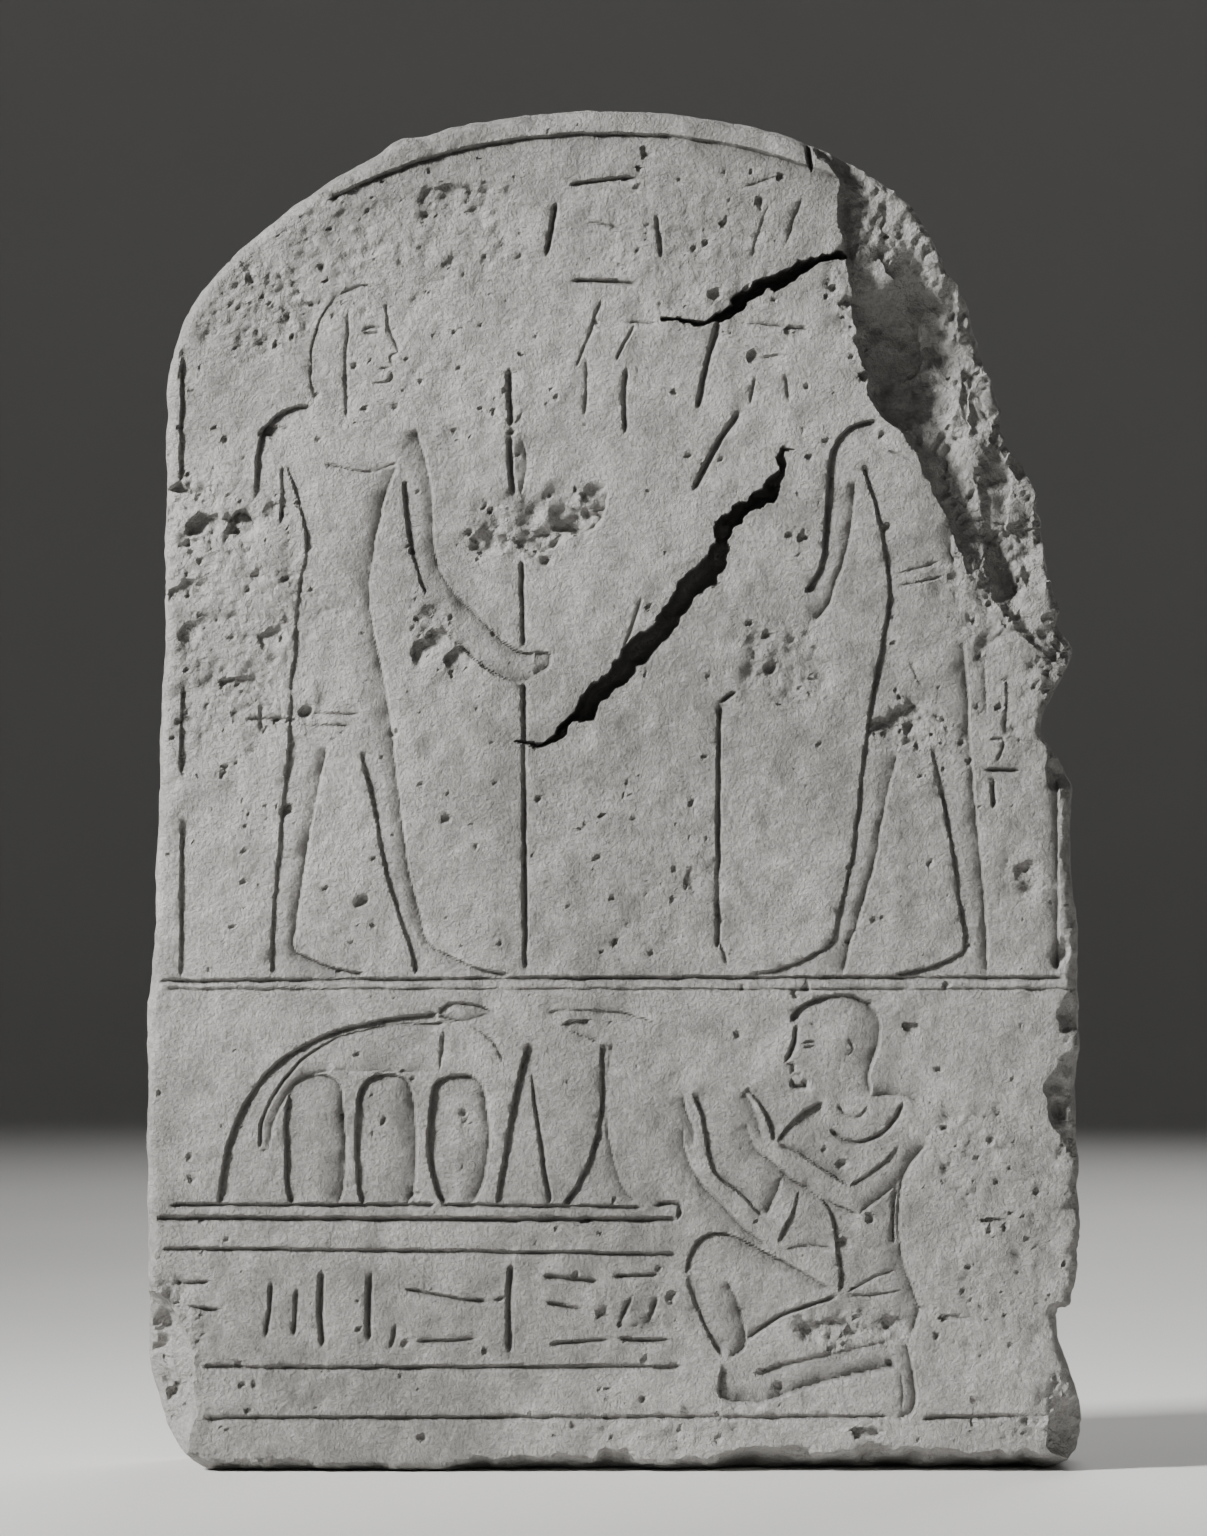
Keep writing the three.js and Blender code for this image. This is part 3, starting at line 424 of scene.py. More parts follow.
# The cracks: a ragged line of a cleft that is deeper where it is wider, up to 4 mm. Its depth falls from the middle
# to the wall as a low power of the distance left, and its lip fades outwards as exp(-distance / reach).
def crackDepth(x, z):
    depth = np.zeros(x.shape)
    (wander, wanderSize), (jags, jagSize) = crack["wander"], crack["jags"]
    opening, swing, swingSize = crack["opening"]
    lipDepth, lipReach = crack["lip"]
    for name in ("lower", "upper"):
        line = np.array(crack[name], float)
        near = nearLine(x, z, line, 8)
        px, pz = x[near], z[near]
        ragX = px + wander * grain(px, 0, pz, wanderSize, 41) + jags * grain(px, 0, pz, jagSize, 42)
        ragZ = pz + wander * grain(px, 0, pz, wanderSize, 43) + jags * grain(px, 0, pz, jagSize, 44)
        signed, along, _ = fromLine(ragX, ragZ, line)
        width = np.interp(along, lengths(line[:, :2]), line[:, 2])
        width = width * (opening + swing * grain(along, 0, 0, swingSize, 45))
        share = np.clip(1 - np.abs(signed) / (width / 2), 0, 1)
        deep = crack["depth"] * np.minimum(1, width / 4) * share ** crack["wall"]
        outside = np.maximum(np.abs(signed) - width / 2, 0)
        lip = lipDepth * np.exp(-outside / lipReach) * np.minimum(1, width / 3)
        depth[near] = np.maximum(depth[near], np.maximum(deep, lip))
    return depth


# How weathered a place is, and how much of a cut it has lost: the most that any patch gives, which falls smoothly
# from its middle to its ragged rim
def weathering(x, z):
    rough, lost = np.zeros(x.shape), np.zeros(x.shape)
    for cx, cz, halfX, halfZ, rate, loss in patches:
        near = np.flatnonzero((np.abs(x - cx) < 1.7 * halfX) & (np.abs(z - cz) < 1.7 * halfZ))
        px, pz = x[near], z[near]
        reach = np.hypot((px - cx) / halfX, (pz - cz) / halfZ) + 0.35 * fractal(px, 0, pz, 9, 3, 51)
        rough[near] = np.maximum(rough[near], rate * (1 - eased(reach, 0.55, 1.25)))
        lost[near] = np.maximum(lost[near], loss * (1 - eased(reach, 0.6, 1.1)))
    return rough, lost


# A hollow slopes in gently from one side and ends at a steep rim on the other: a smooth step from the rim inwards,
# over a run that is short on the steep side
def hollowDepth(x, z):
    depth = np.zeros(x.shape)
    for cx, cz, halfX, halfZ, deep, side in hollows:
        near = np.flatnonzero((np.abs(x - cx) < 1.6 * halfX) & (np.abs(z - cz) < 1.6 * halfZ))
        px, pz = x[near], z[near]
        ragged = 0.3 * fractal(px, 0, pz, min(halfX, halfZ) * 1.1, 3, 61)
        reach = np.hypot((px - cx) / halfX, (pz - cz) / halfZ) + ragged
        steep = np.clip(0.5 + 0.5 * side * ((px - cx) / halfX - 0.8 * (pz - cz) / halfZ), 0, 1)
        share = eased((1 - reach) / (0.75 - 0.6 * steep), 0, 1)
        rubble = 1 + 0.45 * grain(px, 0, pz, 3.2, 62) + 0.2 * grain(px, 0, pz, 1.5, 63)
        depth[near] = np.maximum(depth[near], deep * share * (0.55 + 0.45 * steep) * rubble)
    return depth


# The broken surface: drop (1 - exp(-distance / run)) beside its edge, an even slope beyond, and rock faces, rubble
# and mounds on it. It gives the depth and how far inside the break a place is, from 0 to 1.
def spallDepth(x, z):
    edge = np.array(spall["edge"][::-1], float)
    low = edge[0, 1]
    (tooth, toothSize), (nick, nickSize) = spall["jag"]
    (facet, facetSize), (crumb, crumbSize), (chip, chipSize) = (spall[k] for k in ("facets", "crumb", "chippings"))
    bend, bendSize = spall["bend"]
    jag = tooth * fractal(x, 0, z, toothSize, 2, 71) + nick * grain(x, 0, z, nickSize, 73)
    past = x - np.interp(z, edge[:, 1], edge[:, 0]) + jag * eased(z, low, low + 12)
    past = np.where(z > low, past, -5.0)
    beyond = np.maximum(past, 0)
    drop = np.interp(z, *np.array(spall["drop"]).T)
    grow = np.minimum(1, beyond / 9)
    bentX = x + bend * fractal(x, 0, z, bendSize, 3, 74)
    bentZ = z + bend * fractal(x, 0, z, bendSize, 3, 79)
    rock = facet * facets(bentX, 0.6 * bentZ, facetSize, 75) * grow
    rock = rock + crumb * fractal(bentX, 0, 0.7 * bentZ, crumbSize, 4, 77) * np.minimum(1, beyond / 3)
    rock = rock + chip * np.maximum(0, fractal(x, 0, z, chipSize, 2, 78)) * np.minimum(1, beyond / 2)
    for cx, cz, halfX, halfZ, lean, deep in spall["mounds"]:
        mound = np.exp(-(((x - cx) / halfX) ** 2) - ((z - cz + lean * (x - cx)) / halfZ) ** 2)
        rock = rock + deep * mound * np.minimum(1, beyond / 4)
    rock = rock + spall["cleft"] * np.exp(-(((beyond - 2) / 1.5) ** 2)) * eased(z, 350, 362)
    cx, cz, lean, half, deep = spall["gash"]
    gash = deep * np.exp(-(((x - cx + (z - cz) * lean) / half) ** 2))
    gash = gash * eased(z, cz - 18, cz - 10) * (1 - eased(z, cz + 12, cz + 20))
    fall = drop * (1 - np.exp(-beyond / spall["run"])) + spall["slope"] * beyond + rock + gash * grow
    return np.where(past > 0, np.maximum(fall, 0.4), 0), eased(past, -0.5, 1.5)


# Distance in from the outline, along the line to the slab's middle
def edgeDistance(x, z):
    middle = stele["height"] / 2
    turn = np.arctan2(z - middle, x)
    reach = np.interp(turn, rimTurn, rimReach, period=2 * np.pi)
    return (reach - np.hypot(x, z - middle)) * stele["slant"]


# Wear of the front edge
frontEdge = {
    "width": 0.8,
    "slope": 0.75,
    "foot": [  # x, and how high the edge is broken along the foot
        (-123, 5), (-112, 3.6), (-103, 2.4), (-94, 4.2), (-76, 2.2), (-40, 3.8), (-4, 5), (25, 5.4), (70, 7.4),
        (86, 8.2), (116, 8.2), (131, 6),
    ],
    "footRagged": (3.0, 11),  # height and size of its teeth
    "footSlope": 2.4,
    "corners": [(-139.5, 22, 15, 32, 11), (139.5, 12, 12, 10, 8)],  # x, z, half width, half height, depth
}


# What the front edge has lost: slope times how far a place is inside the chips' width, which is uneven all round,
# and the same for their height along the foot. A lost corner is a quarter of an ellipsoid.
def edgeDepth(x, z):
    gap = edgeDistance(x, z)
    uneven = np.maximum(0, fractal(x, 0, z, 15, 3, 81)) ** 1.4 * (1 + eased(x, *stele["rightSide"]))
    width = frontEdge["width"] + stele["edgeWear"] * uneven
    chip = frontEdge["slope"] * np.maximum(0, width + 0.5 * grain(x, 0, z, 3, 84) - gap)
    height, size = frontEdge["footRagged"]
    foot = np.interp(x, *np.array(frontEdge["foot"]).T) + height * fractal(x, 0, z, size, 5, 85)
    chip = np.maximum(chip, frontEdge["footSlope"] * np.maximum(0, foot - z))
    for cx, cz, halfX, halfZ, deep in frontEdge["corners"]:
        reach = np.hypot((x - cx) / halfX, (z - cz) / halfZ) + 0.1 * fractal(x, 0, z, 9, 3, 86)
        chip = np.maximum(chip, deep * np.sqrt(np.clip(1 - reach**2, 0, 1)))
    return chip


# The worn face: sizes in millimetres, with the share of the undulation or the depth of each
surface = {
    "swell": (45, 0.25),
    "wave": (13, 0.4),
    "ripple": (6, 0.35),
    "flaking": (7, 1.5),
    "pocks": [(2.8, 1.4, 98), (1.5, 0.8, 99)],
    "pits": [(4.2, 1, 201, 0.008, 0.05), (2.3, 1.2, 205, 0.02, 0.12)],  # and how often, and more where worn
    "frontFade": (-22, -14),  # y where cuts and wear fade out down the sides, and where the break does
    "breakFade": (20, 30),
}


# Everything that has happened to the face at a place: depth of all but the break, depth of the break, and
# the shares of cut, wear and break that the material uses; the cut share is where the material paints shade
def faceFields(x, z):
    rough, lost = weathering(x, z)
    broken, inBreak = spallDepth(x, z)
    cuts = carvedDepth(x, z) * (1 - lost) * (1 - inBreak)
    (swell, swellShare), (wave, waveShare), (ripple, rippleShare), (flake, flakeDepth) = (
        surface[k] for k in ("swell", "wave", "ripple", "flaking")
    )
    level = 1 + swellShare * grain(x, 0, z, swell, 91) + waveShare * grain(x, 0, z, wave, 92)
    level = level + rippleShare * fractal(x, 0, z, ripple, 3, 93)
    pitting = 0.3 + flakeDepth * np.maximum(0, fractal(x, 0, z, flake, 4, 95) + 0.1)
    for size, deep, seed in surface["pocks"]:
        pitting = pitting + deep * np.maximum(0, grain(x, 0, z, size, seed))
    depth = stele["undulation"] * level + rough * pitting
    for size, deep, seed, often, whereWorn in surface["pits"]:
        depth = depth + deep * craters(x, z, size, seed, often + whereWorn * rough)
    depth = depth + cuts + hollowDepth(x, z) * (1 - inBreak)
    opened = crackDepth(x, z)
    depth = np.maximum(depth, opened) + edgeDepth(x, z)
    # The cut share, from the depth of the cuts and how open a crack is, darkens both in the material as painted shade
    crackShade = np.clip(opened / 4, 0, 1)
    shares = {"cut": np.maximum(np.clip(cuts / 3, 0, 0.6), crackShade), "worn": rough, "broken": inBreak}
    return depth, broken, shares


# The figures, drawn on the carver's grid of squares
standing = {"square": 10.9, "ground": 146.5, "left": (-102, 1), "right": (110.4, -1)}
worshipper = {"square": 9.3, "ground": 15.9, "heel": (89, -1)}
# Bodies and legs: forward, up and width of each station, in squares
torso = [
    (1.9, 14, 3), (1.9, 13, 2.3), (1.88, 11.7, 1.8), (1.7, 10.5, 1.9), (1.74, 9.2, 2.15), (1.8, 8, 2.5),
    (1.88, 6.7, 2.75),
]
rearLeg = [(1, 6.4, 1.02), (0.7, 4.4, 0.8), (0.42, 2.1, 0.66), (0.32, 0.95, 0.58)]
frontLeg = [(2.83, 6.3, 0.86), (3.12, 4.9, 0.72), (3.36, 3.3, 0.62), (3.72, 1.9, 0.55), (4, 0.95, 0.5)]
stride = 3.93


# Draws on a figure's own grid: forward from its rear heel and up from its ground line, in squares
def figurePen(place, ground, square):
    heel, facing = place

    def pen(tool, points, inside=0):
        cut(tool, [(heel + facing * f * square, ground + u * square) for f, u in points], inside * facing)

    return pen


# The two side lines of a limb: half its width to each side of the line down its middle, front side first
def limbSides(stations):
    stations = np.array(stations, float)
    middle, width = stations[:, :2], stations[:, 2:]
    slope = np.concatenate([middle[1:2] - middle[:1], middle[2:] - middle[:-2], middle[-1:] - middle[-2:-1]])
    aside = np.stack([-slope[:, 1], slope[:, 0]], 1) / np.linalg.norm(slope, axis=1, keepdims=True)
    return [(middle + sign * aside * width / 2).tolist() for sign in (1, -1)]


# The top of a foot slopes down from the ankle to the toes
def footLine(heel):
    return [(heel + 0.92, 0.58), (heel + 1.73, 0.25), (heel + 2.55, 0.12)]


# A plain profile by thirds of the face, from hairline to chin
def faceProfile(pen, tool, front, chin, faceHeight):
    def at(forward, thirds):
        return (front + forward, chin + thirds * faceHeight / 3)

    pen(tool, [at(-0.1, 3), at(0, 2.1), at(0.3, 1.1)])
    pen(tool, [at(0.3, 1.1), at(0.05, 1), at(0.12, 0.6)])
    pen(tool, [at(0.1, 0.5), at(0.02, 0.1), at(-0.5, 0)])
    pen(light, [at(-0.2, 2), at(-0.5, 2.1), at(-0.8, 1.95)])
    pen(light, [at(-0.2, 1.9), at(-0.5, 1.85), at(-0.8, 1.95)])
    pen(light, [at(0.1, 0.6), at(-0.3, 0.58)])


# Body and legs are side lines from stations of width along their middles. The front arm reaches out or hangs.
def standingFigure(place, shoulder, reaches):
    pen = figurePen(place, standing["ground"], standing["square"])
    (chest, spine), (rearShin, rearCalf), (frontShin, frontCalf) = map(limbSides, (torso, rearLeg, frontLeg))
    pen(plain, chest + frontShin[1:] + footLine(stride), -1)
    pen(plain, spine + rearCalf[1:] + [(0, 0.1)], 1)
    pen(plain, rearShin + footLine(0), -1)
    pen(plain, frontCalf + [(stride, 0.1)], 1)
    upperArm = [(4.3, 13.6), (4.38, 12.4), (4.5, 11.3), (4.95, 10.5)]
    pen(bold, shoulder if reaches else shoulder[:-1] + upperArm, -1)
    forearm = [(5.63, 9.8), (6.3, 9.15), (6.75, 8.87), (7.2, 8.85)]
    pen(plain, [(3.6, 13.6), (3.7, 12.4), (3.95, 11.2), (4.25, 10.4)], 1)
    if reaches:
        pen(plain, [(3.9, 15)] + upperArm + forearm, -1)
        pen(plain, [(4.3, 10.2), (4.8, 9.4), (5.6, 8.65), (6.2, 8.25), (6.8, 8.08), (7.2, 8.3)], 1)
        pen(plain, [(7.1, 8.9), (7.55, 8.8), (7.5, 8.45), (7.1, 8.25)], -1)
    return pen


# The left figure has a long wig, an arm held out and the sign of life in its rear hand
def leftFigure():
    shoulder = [(-0.4, 13.1), (-0.36, 14.3), (-0.15, 15), (0.4, 15.45), (1.1, 15.6)]
    pen = standingFigure(standing["left"], shoulder, True)
    pen(light, [(0.5, 7.2), (2.4, 7.2)])
    pen(light, [(0.5, 6.9), (2.2, 6.88)])
    pen(plain, [(0.27, 14), (0.3, 13.2), (0.22, 12.4)], 1)
    pen(light, [(1.75, 18.6), (1.25, 17.8), (1.05, 16.8), (1.15, 15.7)], 1)
    pen(light, [(2.1, 18.2), (2.02, 16.8), (2.05, 15.2)])
    pen(light, [(1.8, 18.6), (2.6, 18.9), (3.1, 18.4)], -1)
    faceProfile(pen, light, 3.2, 16.2, 2.2)
    pen(light, [(1.4, 14), (2.6, 13.8), (3.5, 14.1)])
    pen(light, [(3.55, 11.7), (4.1, 11.9)])
    pen(plain, [(-0.74, 7.06), (0.47, 7.06)])
    pen(plain, [(-0.27, 8), (-0.28, 6.7)])
    pen(light, [(0.22, 8), (0.24, 7.1)])


# The right figure has lost its head, and its front arm is worn away below the elbow
def rightFigure():
    shoulder = [(2.97, 15.2), (3.7, 15), (4.2, 14.4), (4.34, 13.6)]
    pen = standingFigure(standing["right"], shoulder, False)
    pen(light, [(3.35, 6.55), (2.4, 6.55)])
    pen(plain, [(3.85, 11.3), (4.1, 10.9), (4.3, 10.2), (4.75, 9.7)], 1)
    pen(light, [(2.75, 10.6), (1.8, 10.8), (0.7, 11.1)])
    pen(light, [(2.75, 10.95), (1.6, 11.25), (0.75, 11.6)])
    pen(light, [(2.8, 14.4), (2, 14.1)])
    pen(light, [(0.8, 9.45), (0.66, 8.05)])
    pen(light, [(2.15, 8.7), (1.73, 7.9)])
    pen(light, [(0.09, 8.9), (0.05, 8), (0, 7.15)], 1)
    pen(light, [(-0.5, 8.3), (-0.52, 7.4), (-0.48, 6.6)], -1)
    pen(plain, [(0.08, 5.66), (-0.91, 5.66)])
    pen(plain, [(-0.16, 5.5), (-0.17, 4.6)])
    pen(light, [(0, 6.49), (-0.44, 6.49), (-0.28, 5.88)])


# The worshipper kneels on one knee with both hands raised
def kneelingMan():
    pen = figurePen(worshipper["heel"], worshipper["ground"], worshipper["square"])
    skull = [(3.95, 12.6), (3.8, 13), (3.2, 13.35), (2.3, 13.5), (1.5, 13.2), (1.15, 12.6)]
    pen(bold, skull + [(1.25, 11.8), (1.5, 11), (1.4, 10.3)], 1)
    faceProfile(pen, plain, 3.85, 10.55, 2.1)
    pen(light, [(2.2, 12.2), (2.0, 11.8), (2.25, 11.5)])
    pen(plain, [(1.4, 10.3), (0.5, 10.3), (-0.2, 10.05)], -1)
    pen(light, [(2.5, 10.1), (2.2, 9.7), (1.8, 9.6), (1.5, 10)])
    pen(plain, [(0.4, 10.1), (0.6, 9.6), (1.2, 9), (1.8, 8.8), (2.3, 8.9), (2.75, 9.25)])
    pen(bold, [(2.9, 10.1), (3.5, 9.8), (4, 9.35), (4.4, 8.8)], -1)
    pen(plain, [(0.5, 8.7), (1.2, 8), (2.1, 7.4)], -1)
    pen(plain, [(-0.3, 8.8), (0.3, 7.9), (0.9, 7.2), (1.8, 6.5)], 1)
    pen(plain, [(2.1, 7.4), (3, 8), (3.6, 8.4), (4.4, 8.7)], 1)
    pen(plain, [(1.8, 6.5), (2.9, 7), (3.9, 7.6), (4.6, 8.2), (5.1, 8.6), (5.4, 9.5)], -1)
    pen(plain, [(5.5, 10.5), (5.2, 10), (5, 9.4), (4.9, 8.9)], 1)
    pen(plain, [(5.3, 10.5), (4.9, 10), (4.6, 9.3), (4.5, 8.8)], -1)
    pen(plain, [(7.4, 10.4), (7.3, 9.8), (7.1, 9.2), (7.1, 8.6)], 1)
    pen(plain, [(7.1, 10.4), (6.85, 9.8), (6.7, 9.1), (6.6, 8.5), (6.3, 7.8), (5.5, 7.1), (4.8, 6.4)], -1)
    pen(plain, [(7.4, 9.4), (7.35, 8.7), (7.15, 8), (6.7, 7.3), (6, 6.6), (5.4, 6), (4.7, 5.45)], 1)
    pen(bold, [(4.2, 7.8), (4.5, 7), (4.8, 6.4)], 1)
    pen(plain, [(3.7, 7.4), (3.9, 6.6), (4.4, 5.6)], -1)
    pen(plain, [(3.7, 7.5), (2.9, 6.9), (2.6, 6.3), (2.5, 5.5), (2.4, 4.8), (2.4, 4)], -1)
    pen(plain, [(-0.4, 8.8), (0.3, 7.9), (0.5, 6.9), (0.5, 5.9), (0.35, 4.9), (-0.1, 3.5), (0.1, 2.7)], 1)
    pen(light, [(4.2, 5.4), (3.3, 5.5), (2.5, 5.4)])
    pen(plain, [(0.62, 7.6), (0.7, 6.5), (0.68, 5.5)])
    pen(light, [(2.2, 4), (1.4, 4.45), (0.5, 4.8)])
    pen(light, [(2.2, 3.9), (1.2, 3.95), (0.3, 4.1)])
    knee = [(7.3, 4.6), (7.2, 5.2), (6.9, 5.7), (6.4, 5.9), (5.8, 5.8)]
    pen(plain, knee + [(4.8, 5.3), (3.9, 4.8), (2.7, 4.1)], 1)
    pen(plain, [(7.3, 4.6), (6.9, 3.4), (6.5, 2.6), (6.1, 1.9)], -1)
    pen(plain, [(6, 4.4), (5.6, 3.5), (5.4, 2.6), (5.5, 2.2), (6, 1.9)], 1)
    pen(plain, [(5.4, 2.5), (4.6, 3.1), (3.7, 3.5), (2.5, 3.9)])
    shinTop, shinLow = limbSides([(0.6, 2.1, 0.85), (2.3, 1.72, 0.8), (3.9, 1.35, 0.9), (5, 1, 0.95)])
    pen(plain, shinTop, -1)
    pen(bold, shinLow + [(5.7, 0.55), (6.2, 0.8), (6.15, 1.7)], 1)
    pen(plain, [(0.3, 2.5), (0.1, 1.6), (0, 0.7), (0.15, 0.15), (0.6, 0)], 1)
    pen(light, [(0.5, 1.7), (0.4, 0.7), (0.5, 0.2)])


# Offerings and ruled lines
layout = {
    "border": 7.8, "sideBorder": 7, "groundGap": 3.3, "matTop": 79.2, "matLow": 74.8, "rowTop": 65.4,
    "rowLow": 31.2, "base": 15.9, "staffLeft": -27.2, "staffRight": 30.9,
    "loaves": ((-89, 0.74), (-68, 0.7), (-46.5, 0.4)),  # middle, and how wide the foot is
    "loafHalf": 8.7, "loafHeight": 38.5,
}
loafTool = {"width": 2.2, "depth": 2.5, "slope": 6.0}


# The loaves are domes of half widths at heights; the bouquet, pointed loaf and stand are lines above the mat
def offerings():
    def above(points):
        return [(x, layout["matTop"] + rise) for x, rise in points]

    for middle, foot in layout["loaves"]:
        side = [(foot, 0), (0.5 + 0.6 * foot, 0.12), (1, 0.4), (0.97, 0.72), (0.8, 0.92), (0.4, 0.99)]
        dome = [(-w, h) for w, h in side] + [(0, 1)] + side[::-1]
        cut(loafTool, above([(middle + w * layout["loafHalf"], h * layout["loafHeight"]) for w, h in dome]), -1)
    outer = [(-117.9, 0), (-115, 16.7), (-108.7, 31.7), (-98.9, 43.2), (-83.9, 51.1), (-67.7, 55), (-52.7, 56.8)]
    under = [(-105.6, 16.7), (-104.1, 27.1), (-98.9, 36.3), (-90.8, 44.9), (-79.3, 50.7), (-63.1, 53.6), (-50.4, 53.6)]
    band = [(-102.9, 16.1), (-101.2, 24.8), (-97.7, 32.3), (-92, 38), (-83.9, 40)]
    cut(bold, above(outer), -1)
    cut(plain, above(under))
    cut(plain, above(band), 1)
    cut(light, above([band[-1], (-67.7, 39.7), (-51.6, 39.5)]), 1)
    cut(plain, above([(-105.6, 16.7), (-102.9, 16.1)]))
    cut(plain, above([(-53, 56.3), (-49.5, 59.6), (-42, 59.3), (-36, 57)]), -1)
    cut(plain, above([(-53, 56), (-46, 54.6), (-36, 57)]), 1)
    cut(light, above([(-43, 53), (-36, 48), (-33, 42)]))
    cut(light, above([(-51, 52), (-51.5, 46), (-52, 40)]))
    cut(bold, above([(-35.4, 0), (-32.4, 16), (-29.4, 33), (-25.8, 48.5)]), -1)
    cut(plain, above([(-25.8, 48.5), (-22.6, 22), (-19.2, 0)]))
    cut(bold, above([(-15.7, 0), (-10.5, 7), (-5.4, 20), (-3.9, 34), (-3.9, 48.3)]), -1)
    cut(plain, above([(-0.8, 48.3), (-2.5, 33), (-1.3, 17), (2.2, 5.5), (6.2, 1)]), -1)
    cut(light, above([(-20.3, 57), (-16.3, 57.8), (-1.3, 57.5), (6, 56), (12.5, 53.5)]), -1)
    cut(plain, above([(-16.3, 53.5), (-11.7, 54.7), (-7, 55)]), -1)
    cut(light, above([(-16.3, 53.5), (-9, 50), (-3.9, 48.3)]), 1)


# Border, ground lines, mat, the two lines of the row and the base line
def ruledLines():
    left, right = -stele["footWidth"] / 2, stele["footWidth"] / 2
    ground, below = standing["ground"], standing["ground"] - layout["groundGap"]
    matTop, matLow, rowTop, rowLow, base = (layout[k] for k in ("matTop", "matLow", "rowTop", "rowLow", "base"))
    cut(bold, archLine(np.linspace(48, 131, 14), layout["border"]), -1)
    borderLeft = left + 3.6 + layout["sideBorder"]
    borderRight = right - 1.2 - layout["sideBorder"]
    for low, high in ((147, 194), (207, 234), (293, 334)):
        cut(plain, [(borderLeft, low), (borderLeft + 0.4, high)], -1)
    cut(plain, [(borderRight, ground + 1.5), (borderRight, 206)], 1)
    cut(plain, [(left + 4, ground - 1), (0, ground), (right - 6, ground)])
    cut(light, [(left + 6, below), (0, below), (right - 2, below)])
    cut(plain, [(left + 7, matTop), (-53, matTop)])
    cut(plain, [(-52, matTop), (-4, matTop - 0.6), (8, matTop - 0.8)])
    cut(bold, [(left + 3, matLow + 0.4), (-60, matLow), (18.6, matLow)])
    cut(plain, [(18.6, matLow), (18.9, matTop), (11.4, matTop)])
    cut(plain, [(left + 5, rowTop + 0.8), (-61, rowTop), (18.6, rowTop - 1)])
    cut(plain, [(left + 16, rowLow), (-80, rowLow - 0.4), (20, rowLow)])
    cut(plain, [(left + 17, base), (81, base + 0.4)])
    cut(plain, [(91, base), (right - 3, base + 0.6)])
    cut(notch, [(57, 396), (57.4, 391), (58.6, 385)])
    cut(light, [(-4, 230), (2, 243), (8, 260)])


# A stroke about its middle: half its length each way at its angle, with a slight bend
def stroke(tool, x, z, length, angle):
    dx, dz = np.cos(np.radians(angle)) * length / 2, np.sin(np.radians(angle)) * length / 2
    bend = 0.05 * np.sin(x * 1.7 + z)
    cut(tool, [(x - dx, z - dz), (x - dz * bend, z + dx * bend), (x + dx, z + dz)])


# Worn strokes in the row under the mat: x, height over the middle of the row, length, angle
rowStrokes = [
    (plain, [
        (-126, 8, 12, 2), (-124, 0, 14, -3), (-127, -8, 12, 4), (-103, 0, 17, 84), (-95, -1, 15, 87), (-66, -8, 8, 78),
        (-50, 4, 25, -9), (-50, -9, 18, 3), (-15, 1, 12, -14), (-11, -10, 18, 4), (6, 10, 14, 3), (3, 0, 9, 66),
        (11, 0, 9, 70), (9, -9, 16, -3),
    ]),
    (bold, [(-87, 0, 23, 91), (-73, 1, 21, 88), (-31, 0, 27, 90), (-13, 9, 17, -7)]),
]


# Strokes in the field between and above the figures: x, z, length, angle
fieldStrokes = [
    (plain, [(-3, 383, 22, 6), (-19, 369, 17, 80), (13, 367, 14, 97), (-3, 353, 20, -3), (3, 318, 20, 90)]),
    (light, [
        (-3, 370, 12, -12), (-8, 338, 22, 70), (3, 335, 13, 62), (-9, 322, 18, 88), (8, 341, 10, 0),
        (43, 368, 18, 72), (53, 371, 16, 70), (46, 384, 16, 20), (48, 340, 18, -6), (47, 331, 12, 4),
        (41, 321, 9, 78), (51, 322, 9, 100),
    ]),
    (bold, [(28, 330, 30, 76), (30, 303, 28, 60), (-31, 319, 18, 92)]),
]


# Each staff is a straight line: the left one has a flower at its top, the right one a hook and a forked foot
def staffLines():
    left, right = layout["staffLeft"], layout["staffRight"]
    cut(light, [(left - 4.3, 315.3), (left - 2.5, 311.4), (left - 0.4, 314.7)])
    cut(broad, [(left - 3.6, 310), (left - 3.8, 307)])
    cut(bold, [(left - 4.3, 308), (left - 3.1, 291.6), (left - 1.6, 278)])
    cut(light, [(left - 1, 307), (left + 1.1, 300), (left - 1, 289.5)], -1)
    cut(plain, [(left - 0.6, 271), (left, 245)])
    cut(plain, [(left, 235), (left + 0.6, 149)])
    cut(plain, [(right, 228), (right - 0.4, 155)])
    cut(plain, [(right, 228), (right + 5.4, 232)])
    cut(light, [(right - 0.4, 159), (right + 2.6, 150)])


ruledLines()
leftFigure()
rightFigure()
staffLines()
for tool, places in fieldStrokes:
    for place in places:
        stroke(tool, *place)
offerings()
rowMiddle = (layout["rowTop"] + layout["rowLow"]) / 2
for tool, places in rowStrokes:
    for x, rise, length, angle in places:
        stroke(tool, x, rowMiddle + rise, length, angle)
kneelingMan()
print("drawing set out:", len(strokes), "cuts")


# A net between four sides: the blend of opposite sides in each direction, less the blend of the corners
def netBetween(under, right, top, left):
    a, b, c, d = under, right, top[::-1], left[::-1]
    u = np.linspace(0, 1, len(a))[None, :, None]
    v = np.linspace(0, 1, len(b))[:, None, None]
    ruled = (1 - v) * a[None] + v * c[None] + (1 - u) * d[:, None] + u * b[:, None]
    return ruled - ((1 - u) * (1 - v) * a[0] + u * (1 - v) * a[-1] + (1 - u) * v * c[0] + u * v * c[-1])


# The numbers of a net's edge points, anticlockwise from its lower left
def netEdge(across, up):
    number = np.arange((up + 1) * (across + 1)).reshape(up + 1, across + 1)
    return np.concatenate([number[0, :-1], number[:-1, -1], number[-1, :0:-1], number[:0:-1, 0]])


